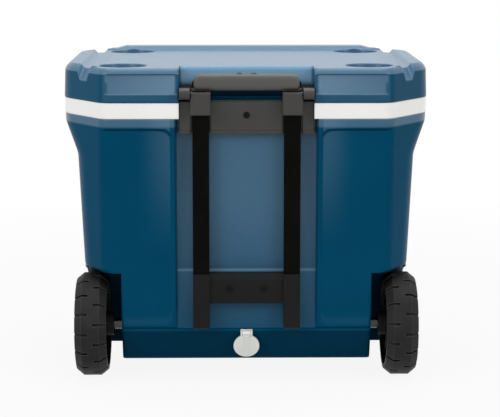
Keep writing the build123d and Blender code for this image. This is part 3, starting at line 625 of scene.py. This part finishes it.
def makeBody(b):
    # skin of stacked outlines with its wall inwards, two rounded feet, and painted light and shade for each
    # region of the skin
    patches = [sheet(bodyGrid(b), wrap=True)]
    shell = makePiece("body_shell", patches, "blue_shell", "cooler_body", ["outer_shell", "base_shell"])
    thicken(shell, b["wall"])
    feet = []
    for side in (-1, 1):
        x = side * b["footX"]
        low = (x - b["footHalf"], b["footRear"], 0)
        high = (x + b["footHalf"], b["footFront"], b["heights"][0] + 1)
        feet.append(roundedBlock(low, high, b["footEdge"]))
    makePiece("front_feet", feet, "blue_shell", "cooler_body", ["front_foot_left", "front_foot_right"])
    x, y, z, tilt = skinPoints(shell)
    wide = np.abs(x)
    # lighter up-facing faces and darker (painted shade) down-facing ones
    # painted light and shade: a recess lighter towards its top, a painted highlight beside it, a lighter rim
    # strip,
    inRecess = smoothRamp(b["recessHalf"] - wide, 0, 2) * (z > b["recessFoot"]) * (y < 2 * b["recessDepth"])
    besideRecess = smoothRamp(-wide, -b["besideOut"], -b["panelInner"]) * (wide > b["panelInner"] + 2)
    besideRecess = besideRecess * smoothRamp(z, b["besideFoot"], b["panelTop"]) * (y < 2 * b["recessDepth"])
    rimStrip = smoothRamp(z, b["heights"][3] - 2, b["heights"][3] + 2)
    recessPaintedLight = np.interp(z, b["recessPaintedLightZ"], b["recessPaintedLight"])
    upward = smoothRamp(tilt, -0.03, 0.3) * (z > b["heights"][1] + 6)
    downward = smoothRamp(-tilt, 0.1, 0.3)
    paintedLight = b["paintedTopLight"] * upward + b["paintedUndersideShade"] * downward + inRecess * recessPaintedLight
    addPaintedLight(shell, paintedLight + (1 - inRecess) * (b["paintedPanelHighlight"] * besideRecess + b["paintedStripLight"] * rimStrip))
    return shell


bodyShell = makeBody(body)
print("body shell", len(bodyShell.data.polygons), "faces")


def capped(rings):
    # closes a run of rings at both ends with a fan to the middle of the last ring
    first = np.broadcast_to(rings[:1].mean(axis=1, keepdims=True), rings[:1].shape)
    last = np.broadcast_to(rings[-1:].mean(axis=1, keepdims=True), rings[-1:].shape)
    return sheet(np.concatenate([first, rings, last]), wrap=True)


# lid: a grid of heights over the top with squares left out for the cup holders, and a profile round the edge

lid = {
    "half": 290.0, "depth": 445.0, "bottom": 445.8, "edge": 489.0, "top": 500.5,
    "topIn": 11.5, "skirtIn": 1.5,
    "platformHalf": 238.0, "platformTop": 498.5, "grooveWide": 22.0, "grooveDepth": 6.0,
    "scoopX": 256.0, "scoopIn": 16.5, "scoopRun": 15.2, "scoopDrop": 17.5, "scoopHalf": 9.5,
    "scoopFlare": 0.59,
    "lipRear": 389.0, "lipFront": 433.0, "lipTop": 504.5, "lipSlope": 6.0, "lipRun": 15.0,
    "cupX": 193.0, "cupRear": 62.0, "cupFront": 352.0, "cupRadius": 37.5, "cupDepth": 15.0, "cupFrame": 41.5,
    "cupRim": 2.0, "cupFillet": 5.0, "cupDraft": 1.5,
    "notchHalf": 104.5, "notchDepth": 46.0,
    "panelIn": 109.5, "panelOut": 216.0, "panelFoot": 458.9, "panelRound": 1.5, "panelDepth": [2.2, 5.5],
    "ledgeHalf": 55.5, "ledgeTip": 37.0, "ledgeSide": 43.0, "ledgeTop": 451.8,
    "skirtRows": [488.6, 488, 487.3, 486, 483, 479, 475, 471, 467, 463, 460.5, 459.5, 458.9, 458.3, 457.3,
                  454, 450],
    "margin": 8.0, "wall": 3.0,
    # and shaded under the grip, and the ledge shaded by the grip
    # painted light and shade: lighter up-facing faces, middle and rear panels, the notch's back wall bright
    # above
    "paintedTopLight": 0.5, "paintedMiddleLight": 0.12, "paintedPanelLight": [1.0, 0.6], "paintedLedgeShadow": -0.5,
    "paintedWallLightZ": [466.0, 476.0], "paintedWallLight": [-0.6, 1.9],
}


def lidHeight(k, x, y):
    # platform and front lip in the middle, a trough towards each end, a ridge beyond,
    # and a scoop through each facet: the lowest of these counts
    wide = np.abs(x)
    lip = [k["lipRear"], k["lipRear"] + k["lipSlope"], k["lipFront"] - k["lipSlope"], k["lipFront"]]
    middle = np.interp(y, lip, [k["platformTop"], k["lipTop"], k["lipTop"], k["top"]])
    inner = k["platformHalf"]
    outer = inner + k["grooveWide"]
    slope = k["grooveDepth"]
    trough = np.interp(wide, [inner, inner + slope, outer - slope, outer], [0, 1, 1, 0])
    near = np.minimum(y, k["depth"] - y)
    # inward is the way in from the facet, along the way beside the middle of the scoop
    cosA, sinA = math.cos(facet["angle"]), math.sin(facet["angle"])
    inward = near * cosA - (wide - facet["start"]) * sinA
    along = (wide - k["scoopX"]) * cosA + (near - (k["scoopX"] - facet["start"]) * sinA / cosA) * sinA
    # the lip stays under the bevel's plane, and slopes down to where the facets begin
    bevel = k["edge"] + (inward - k["skirtIn"]) * (k["top"] - k["edge"]) / (k["topIn"] - k["skirtIn"])
    lipEnd = k["top"] + (facet["start"] - wide) * (k["lipTop"] - k["top"]) / k["lipRun"]
    middle = np.minimum(middle, np.maximum(bevel, k["top"]))
    middle = np.minimum(middle, np.maximum(lipEnd, k["top"]))
    ramp = k["scoopDrop"] * np.clip((k["scoopIn"] - inward) / k["scoopRun"], 0, 1)
    foot = k["top"] - k["grooveDepth"] - k["scoopDrop"]
    flank = foot + np.maximum(np.abs(along) - k["scoopHalf"], 0) / k["scoopFlare"]
    scoop = np.maximum(k["top"] - k["grooveDepth"] - ramp, flank)
    scoop = np.where(inward < k["scoopIn"], scoop, 2 * k["top"])
    sunk = k["top"] - trough * k["grooveDepth"]
    level = np.where((wide < (inner + outer) / 2) & (y < k["lipRear"]), k["platformTop"], k["top"])
    side = smoothRamp(wide, inner - 0.8, inner + 0.8)
    return np.minimum(middle * (1 - side) + np.minimum(sunk, level) * side, scoop)


def lidLines(k):
    # grid lines along x and y, closer at the cup holders and the edges
    cx, f, notch = k["cupX"], k["cupFrame"], k["notchHalf"]
    reachX = k["half"] - k["topIn"]
    halfX = np.concatenate([np.linspace(0, notch, 22), run(notch, cx - f, 12), run(cx - f, cx + f, 36),
                            run(cx + f, reachX, 24)])
    linesX = np.concatenate([-halfX[:0:-1], halfX])
    low, high = k["topIn"], k["depth"] - k["topIn"]
    edge = np.array([0, 0.15, 0.6, 1.4, 2.5, 4.0, 5.8, 7.4])
    r0, r1 = k["cupRear"] - f, k["cupRear"] + f
    f0, f1 = k["cupFront"] - f, k["cupFront"] + f
    linesY = np.concatenate([low + edge, np.linspace(r0, k["notchDepth"], 15), run(k["notchDepth"], r1, 36),
                             run(r1, f0, 36), run(f0, f1, 50), run(f1, high - 8.6, 20), high - edge[::-1]])
    return linesX, linesY


def lidCorner(k):
    # outline of the lid's top at a corner: x, y and heading, with y rising
    share = np.linspace(0, 1, 160)
    return facetPath(facet, k["half"], 0, k["topIn"], k["half"], k["depth"] / 2, share)


def lidTop(k):
    # each row ends on the outline: x is kept up to a margin, and the rest is squeezed into the margin
    linesX, linesY = lidLines(k)
    x, y = np.meshgrid(linesX, linesY)
    near = np.minimum(y, k["depth"] - y)
    cornerX, cornerY, _ = lidCorner(k)
    widest = np.interp(near, cornerY, cornerX)
    keep = widest - k["margin"]
    full = k["half"] - k["topIn"]
    wide = np.abs(x)
    squeezed = keep + (wide - keep) * k["margin"] / (full - keep)
    x = np.sign(x) * np.where(wide > keep, squeezed, wide)
    return linesX, linesY, np.stack([x, y, lidHeight(k, x, y)], axis=-1)


def lidEdge(k, border):
    # profile carried outwards from the border, square to the outline, with the rear panels pressed in
    slope = np.array([0.04, 0.1, 0.2, 0.35, 0.5, 0.65, 0.8, 0.9, 0.96, 1.0])
    reachOut = k["topIn"] - k["skirtIn"]
    skirt = np.array([*k["skirtRows"], k["bottom"]])
    # bevel halfway between a straight one and a quarter of an ellipse
    sink = (slope + 1 - np.cos(slope * math.pi / 2)) / 2
    reach = (slope + np.sin(slope * math.pi / 2)) / 2
    down = np.concatenate([[k["top"]], k["top"] - sink * (k["top"] - k["edge"]), skirt])
    draft = k["skirtIn"] * (skirt - k["bottom"]) / (k["edge"] - k["bottom"])
    out = np.concatenate([[0], reach * reachOut, k["topIn"] - draft])
    _, cornerY, heading = lidCorner(k)
    turn = np.interp(np.minimum(border[:, 1], k["depth"] - border[:, 1]), cornerY, heading)
    towards = np.where(border[:, 1] < k["depth"] / 2, -1, 1)
    normal = np.stack([np.sign(border[:, 0]) * np.sin(turn), towards * np.cos(turn)], axis=-1)
    x = border[None, :, 0] + normal[None, :, 0] * out[:, None]
    y = border[None, :, 1] + normal[None, :, 1] * out[:, None]
    z = np.minimum(down[:, None], lidHeight(k, x, y))
    middle = (k["panelIn"] + k["panelOut"]) / 2
    tall = (k["edge"] - k["panelFoot"]) / 2
    across = (k["panelOut"] - k["panelIn"]) / 2
    inside = boxDistance(np.abs(x) - middle, z - k["panelFoot"] - tall, across, tall, k["panelRound"])
    press = smoothRamp(-inside, -0.6, 0.8) * (y < k["notchDepth"])
    depth = np.interp(z, [k["panelFoot"], k["edge"]], k["panelDepth"])
    y = y + press * np.maximum(depth - y, 0)
    return np.stack([x, y, z], axis=-1)


def lidCup(k, ring, centre):
    # square frame to rim circle, over the rim, down the wall, across the floor; ring is the frame's border
    offset = ring[:, :2] - np.array(centre)
    far = np.linalg.norm(offset, axis=1, keepdims=True)
    unit = offset / far
    radius, rim, fillet = k["cupRadius"], k["cupRim"], k["cupFillet"]
    foot = radius - k["cupDraft"]
    bend = np.radians(np.linspace(0, 90, 6))
    share = np.linspace(0, 1, 7)[:, None, None]
    apron = (far + share * (radius + rim - far)) * unit + np.array(centre)
    apron = np.concatenate([apron, lidHeight(k, apron[..., 0], apron[..., 1])[..., None]], axis=-1)
    floor = k["platformTop"] - k["cupDepth"]
    radii = np.concatenate([radius + rim * (1 - np.sin(bend[1:])), run(radius, foot, 3),
                            foot - fillet * (1 - np.cos(bend[1:])), (foot - fillet) * run(1, 0, 6)])
    rimDrop = rim * (1 - np.cos(bend[1:]))
    low = np.concatenate([0 * rimDrop, run(0, 1, 3), np.ones(len(bend) + 5)])
    wallTop = apron[-1, :, 2]
    start = wallTop - rim
    ends = floor + fillet
    z = start[None, :] + low[:, None] * (ends - start[None, :])
    z[:len(rimDrop)] = wallTop[None, :] - rimDrop[:, None]
    turn = slice(len(rimDrop) + 3, len(rimDrop) + 3 + len(bend) - 1)
    z[turn] = ends - fillet * np.sin(bend[1:])[:, None]
    z[turn.stop:] = floor
    flat = radii[:, None, None] * unit[None] + np.array(centre)
    inner = np.concatenate([flat, z[..., None]], axis=-1)
    return sheet(np.concatenate([apron, inner]), wrap=True)


def frameBorder(grid, rows, cols):
    # border of a block of the grid, once round
    r0, r1, c0, c1 = rows[0], rows[-1] + 1, cols[0], cols[-1] + 1
    return np.concatenate([grid[r0, c0:c1], grid[r0:r1, c1], grid[r1, c1:c0:-1], grid[r1:r0:-1, c0]])


def makeLid(k):
    # top without the notch and the cup squares, the cups, the edge and the notch walls, welded into one skin
    linesX, linesY, top = lidTop(k)
    middleX = (linesX[1:] + linesX[:-1]) / 2
    middleY = (linesY[1:] + linesY[:-1]) / 2
    inNotch = (middleY[:, None] < k["notchDepth"]) & (np.abs(middleX)[None, :] < k["notchHalf"])
    cups = [(side * k["cupX"], y) for side in (-1, 1) for y in (k["cupRear"], k["cupFront"])]
    left = inNotch
    patches = []
    for cx, cy in cups:
        inRows = np.abs(middleY - cy) < k["cupFrame"]
        inCols = np.abs(middleX - cx) < k["cupFrame"]
        left = left | (inRows[:, None] & inCols[None, :])
        patches.append(lidCup(k, frameBorder(top, np.flatnonzero(inRows), np.flatnonzero(inCols)), (cx, cy)))
    points, quads = sheet(top)
    patches.append((points, quads[~left.reshape(-1)]))
    first = np.argmin(np.abs(linesX - k["notchHalf"]))
    last = np.argmin(np.abs(linesX + k["notchHalf"]))
    back = np.argmin(np.abs(linesY - k["notchDepth"]))
    border = [top[0, first:], top[1:, -1], top[-1, -2::-1], top[-2::-1, 0], top[0, 1:last + 1]]
    edge = lidEdge(k, np.concatenate(border))
    patches.append(sheet(edge))
    # notch: both sides and the back, straight down to the lid's lower edge
    share = np.linspace(0, 1, 10)[:, None, None]
    rightWall = np.concatenate([top[back:0:-1, first], edge[:, 0]])
    leftWall = np.concatenate([top[back:0:-1, last], edge[:, -1]])
    for upper in (rightWall, leftWall, top[back, last:first + 1]):
        lower = upper.copy()
        lower[:, 2] = k["bottom"]
        patches.append(sheet(upper + share * (lower - upper)))
    shell = makePiece("lid_skin", patches, "blue_shell", "lid", ["lid_shell"])
    thicken(shell, k["wall"])
    x, y, z, tilt = skinPoints(shell)
    wide = np.abs(x)
    # painted light and shade: the notch's back wall lit above and darkened in the grip's shade below,
    # the rear panels lighter, the middle lighter than the corner facets, and up-facing faces lighter
    backWall = (wide < k["notchHalf"] - 1) * (y > k["notchDepth"] - 1) * (y < k["notchDepth"] + 1)
    inPanel = (wide > k["panelIn"]) * (wide < k["panelOut"]) * (y > 1.0) * (y < k["notchDepth"] / 2)
    inPanel = inPanel * (z > k["panelFoot"] + 0.4) * (z < k["edge"] - 0.4)
    paintedPanelLight = np.interp(wide, [k["panelIn"], k["panelOut"]], k["paintedPanelLight"])
    paintedWallLight = np.interp(z, k["paintedWallLightZ"], k["paintedWallLight"])
    plain = k["paintedMiddleLight"] * (wide < facet["start"]) + k["paintedTopLight"] * smoothRamp(tilt, -0.03, 0.3)
    addPaintedLight(shell, np.where(backWall, paintedWallLight, np.maximum(plain, inPanel * paintedPanelLight)))
    return shell


def makeLedge(k):
    # bowed ledge under the grip: front edge y = tip + (side - tip) * (x / half)^2
    x = np.linspace(-k["ledgeHalf"], k["ledgeHalf"], 25)
    front = k["ledgeTip"] + (k["ledgeSide"] - k["ledgeTip"]) * (x / k["ledgeHalf"]) ** 2
    back = 0 * x + k["notchDepth"] + 1
    y = np.stack([back, front + 2, front + 0.6, front, front, back], axis=1)
    top, bottom = k["ledgeTop"], k["bottom"]
    z = np.array([top, top, top - 0.6, top - 2, bottom, bottom])
    rings = np.stack([x[:, None] + 0 * y, y, z[None, :] + 0 * y], axis=-1)
    ledge = makePiece("lid_ledge", [capped(rings)], "blue_shell", "lid")
    # painted shadow: the ledge is darkened for the grip's shade over it
    addPaintedLight(ledge, np.full(len(ledge.data.vertices), k["paintedLedgeShadow"]))
    return ledge


lidSkin = makeLid(lid)
makeLedge(lid)
print("lid", len(lidSkin.data.polygons), "faces")


# grip: superellipse sections along x, rounded more at the upper ends, with a slight bow below

grip = {
    "half": 81.7, "middleY": 9.5, "middleZ": 477.5, "halfDepth": 13.0, "halfHeight": 12.5, "power": 3.2,
    "endRound": 12.0, "endRoundBelow": 4.5, "bow": 0.6,
    "neckX": 71.0, "neckY": 13.0, "neckHalf": (14.0, 9.2), "neckFoot": 463.0, "neckTop": 468.0,
    "neckRound": 1.6,
    "nubX": 11.0, "nubHalf": (4.3, 4.0), "nubY": 8.0, "nubFoot": 486.0, "nubTop": 492.0, "nubRound": 1.8,
}


def endDrop(spot, radius):
    # how far a quarter circle falls: radius - sqrt(radius^2 - (spot + radius)^2), spot 0 at the very end
    return radius - np.sqrt(radius ** 2 - np.clip(spot + radius, 0, None) ** 2)


def makeGrip(g):
    # section: |y / depth|^p + |z / height|^p = 1; towards the ends the height shrinks along a rounded corner
    bend = np.radians(np.linspace(90, 0, 10))
    ends = g["half"] - g["endRound"] * (1 - np.cos(bend))
    x = np.concatenate([-ends[::-1], np.linspace(-ends[0], ends[0], 25)[1:-1], ends])
    spot = np.abs(x) - g["half"]
    above = g["halfHeight"] - endDrop(spot, g["endRound"])
    below = g["halfHeight"] - endDrop(spot, g["endRoundBelow"])
    deep = g["halfDepth"] - endDrop(spot, g["endRoundBelow"])
    turn = np.radians(np.arange(0, 360, 7.5))
    side = np.sign(np.cos(turn)) * np.abs(np.cos(turn)) ** (2 / g["power"])
    up = np.sign(np.sin(turn)) * np.abs(np.sin(turn)) ** (2 / g["power"])
    y = g["middleY"] + deep[:, None] * side
    bowed = g["bow"] * (1 - (x / g["half"]) ** 2)
    z = g["middleZ"] + np.where(up > 0, above[:, None], below[:, None] + bowed[:, None]) * up
    patches = [capped(np.stack([x[:, None] + 0 * y, y, z], axis=-1))]
    for sign in (-1, 1):
        neck = np.array((sign * g["neckX"], g["neckY"]))
        low, high = neck - g["neckHalf"], neck + g["neckHalf"]
        patches.append(roundedBlock((*low, g["neckFoot"]), (*high, g["neckTop"]), g["neckRound"]))
        nub = np.array((sign * g["nubX"], g["nubY"]))
        low, high = nub - g["nubHalf"], nub + g["nubHalf"]
        patches.append(roundedBlock((*low, g["nubFoot"]), (*high, g["nubTop"]), g["nubRound"]))
    return makePiece("grip_skin", patches, "black_plastic", "handle", ["handle_grip"], "grip_plastic")


gripSkin = makeGrip(grip)
print("grip", len(gripSkin.data.polygons), "faces")


# hem along the foot of the upper bracket: its plate and wings end a little lower in the photograph

hem = {"foot": 396.4, "top": 402.0, "rear": 10.0, "front": 23.8, "round": 0.8,
       "plateHalf": 56.5, "wingIn": 86.5, "wingOut": 106.2}


def makeHem(h):
    # three rounded bars, one under the plate and one under each wing
    spans = [(-h["wingOut"], -h["wingIn"]), (-h["plateHalf"], h["plateHalf"]), (h["wingIn"], h["wingOut"])]
    patches = []
    for x0, x1 in spans:
        patches.append(roundedBlock((x0, h["rear"], h["foot"]), (x1, h["front"], h["top"]), h["round"]))
    return makePiece("bracket_hem", patches, "black_plastic", "cooler_body")


bracketHem = makeHem(hem)
print("bracket hem", len(bracketHem.data.polygons), "faces")


# tongue moulded on the drain cap, from its strap to a little below the middle

tongue = {"middleY": 32.23, "middleZ": 57.7, "tilt": math.atan2(21.0, 54.0),
          "half": 6.6, "from": -5.5, "to": 20.5, "under": 4.0, "out": 8.4, "round": 1.3}


def makeTongue(t):
    # x across, v up the sloping base, w square out of it:
    # y = middle - v sin - w cos, z = middle + v cos - w sin
    low, high = (-t["half"], t["from"], t["under"]), (t["half"], t["to"], t["out"])
    points, quads = roundedBlock(low, high, t["round"])
    x, v, w = points.T
    y = t["middleY"] - v * math.sin(t["tilt"]) - w * math.cos(t["tilt"])
    z = t["middleZ"] + v * math.cos(t["tilt"]) - w * math.sin(t["tilt"])
    return makePiece("drain_tongue", [(np.stack([x, y, z], axis=-1), quads)], "drain_white", "drain_flap")


drainTongue = makeTongue(tongue)
print("drain tongue", len(drainTongue.data.polygons), "faces")


# stage: pale floor, soft lamps, white surround

stage = {"floorHalf": 9.0, "floorColour": (0.6, 0.6, 0.6), "whiteNear": 0.9, "nearTo": 0.7, "whiteFrom": 1.7,
         "ambient": 0.42}
lamps = {
    "overheadLamp": {"place": (0.0, 0.2, 2.6), "aim": (0.0, 0.0, 0.3), "size": 2.4, "watts": 42},
    "leftLamp": {"place": (-2.4, -2.2, 1.9), "aim": (0.0, -0.1, 0.3), "size": 1.8, "watts": 36},
    "rightLamp": {"place": (2.4, -2.2, 1.9), "aim": (0.0, -0.1, 0.3), "size": 1.8, "watts": 30},
}


def seenRays(tree):
    # 1 for the eye and for what mirrors and glass show
    path = tree.nodes.new("ShaderNodeLightPath")
    either = path.outputs["Is Camera Ray"]
    for ray in ("Is Glossy Ray", "Is Transmission Ray"):
        either = mathNode(tree, "MAXIMUM", either, path.outputs[ray])
    return either


def makeFloor(look):
    half = look["floorHalf"]
    corners = np.array([(-half, -half, 0), (half, -half, 0), (half, half, 0), (-half, half, 0)])
    mesh = bpy.data.meshes.new("floor")
    mesh.from_pydata(corners.tolist(), [], [(0, 1, 2, 3)])
    floor = bpy.data.objects.new("floor", mesh)
    bpy.context.scene.collection.objects.link(floor)
    mat, tree, shader = newMaterial("floorPaper")
    shader.inputs["Roughness"].default_value = 0.9
    shader.inputs["Base Color"].default_value = (*look["floorColour"], 1)
    glow = tree.nodes.new("ShaderNodeEmission")
    # paper white to the eye: a share of it near the object, so that the shadow stays, all of it further out
    coord = tree.nodes.new("ShaderNodeTexCoord")
    away = tree.nodes.new("ShaderNodeVectorMath")
    away.operation = "LENGTH"
    share = tree.nodes.new("ShaderNodeMapRange")
    share.inputs["From Min"].default_value = look["nearTo"]
    share.inputs["From Max"].default_value = look["whiteFrom"]
    share.inputs["To Min"].default_value = look["whiteNear"]
    tree.links.new(coord.outputs["Object"], away.inputs[0])
    tree.links.new(away.outputs["Value"], share.inputs["Value"])
    seen = mathNode(tree, "MULTIPLY", seenRays(tree), share.outputs["Result"])
    mixed = tree.nodes.new("ShaderNodeMixShader")
    tree.links.new(seen, mixed.inputs["Fac"])
    tree.links.new(shader.outputs["BSDF"], mixed.inputs[1])
    tree.links.new(glow.outputs["Emission"], mixed.inputs[2])
    out = tree.nodes["Material Output"]
    tree.links.new(mixed.outputs["Shader"], out.inputs["Surface"])
    mesh.materials.append(mat)


def makeWorld(look):
    # white to the eye and in reflections, a plain grey level as light
    world = bpy.data.worlds.new("surround")
    bpy.context.scene.world = world
    world.use_nodes = True
    tree = world.node_tree
    tree.nodes.clear()
    out = tree.nodes.new("ShaderNodeOutputWorld")
    light = tree.nodes.new("ShaderNodeBackground")
    white = tree.nodes.new("ShaderNodeBackground")
    light.inputs["Strength"].default_value = look["ambient"]
    light.inputs["Color"].default_value = (1, 1, 1, 1)
    white.inputs["Color"].default_value = (1, 1, 1, 1)
    mixed = tree.nodes.new("ShaderNodeMixShader")
    tree.links.new(seenRays(tree), mixed.inputs["Fac"])
    tree.links.new(light.outputs["Background"], mixed.inputs[1])
    tree.links.new(white.outputs["Background"], mixed.inputs[2])
    tree.links.new(mixed.outputs["Shader"], out.inputs["Surface"])


def aimAt(thing, target):
    thing.rotation_euler = (Vector(target) - thing.location).to_track_quat("-Z", "Y").to_euler()


def makeLamps(table):
    for name, look in table.items():
        data = bpy.data.lights.new(name, "AREA")
        data.shape = "DISK"
        data.size = look["size"]
        data.energy = look["watts"]
        lamp = bpy.data.objects.new(name, data)
        bpy.context.scene.collection.objects.link(lamp)
        lamp.location = look["place"]
        aimAt(lamp, look["aim"])


camera = {"focalPixels": 1691, "imageWidth": 500, "middlePixel": 246.65, "sensor": 36.0,
          "pitch": 9.636, "height": 0.7208, "behind": 2.5877, "aside": -0.033}


def makeCamera(look):
    data = bpy.data.cameras.new("camera")
    data.sensor_fit = "HORIZONTAL"
    data.sensor_width = look["sensor"]
    data.lens = look["focalPixels"] * look["sensor"] / look["imageWidth"]
    data.shift_x = (look["imageWidth"] / 2 - look["middlePixel"]) / look["imageWidth"]
    eye = bpy.data.objects.new("camera", data)
    bpy.context.scene.collection.objects.link(eye)
    eye.location = (look["aside"], rearPlane - look["behind"], look["height"])
    eye.rotation_euler = (math.radians(90 - look["pitch"]), 0, math.atan2(look["aside"], look["behind"]))
    bpy.context.scene.camera = eye


makeFloor(stage)
makeWorld(stage)
makeLamps(lamps)
makeCamera(camera)
bpy.context.scene.view_settings.view_transform = "Standard"
print("stage, lamps and camera placed")
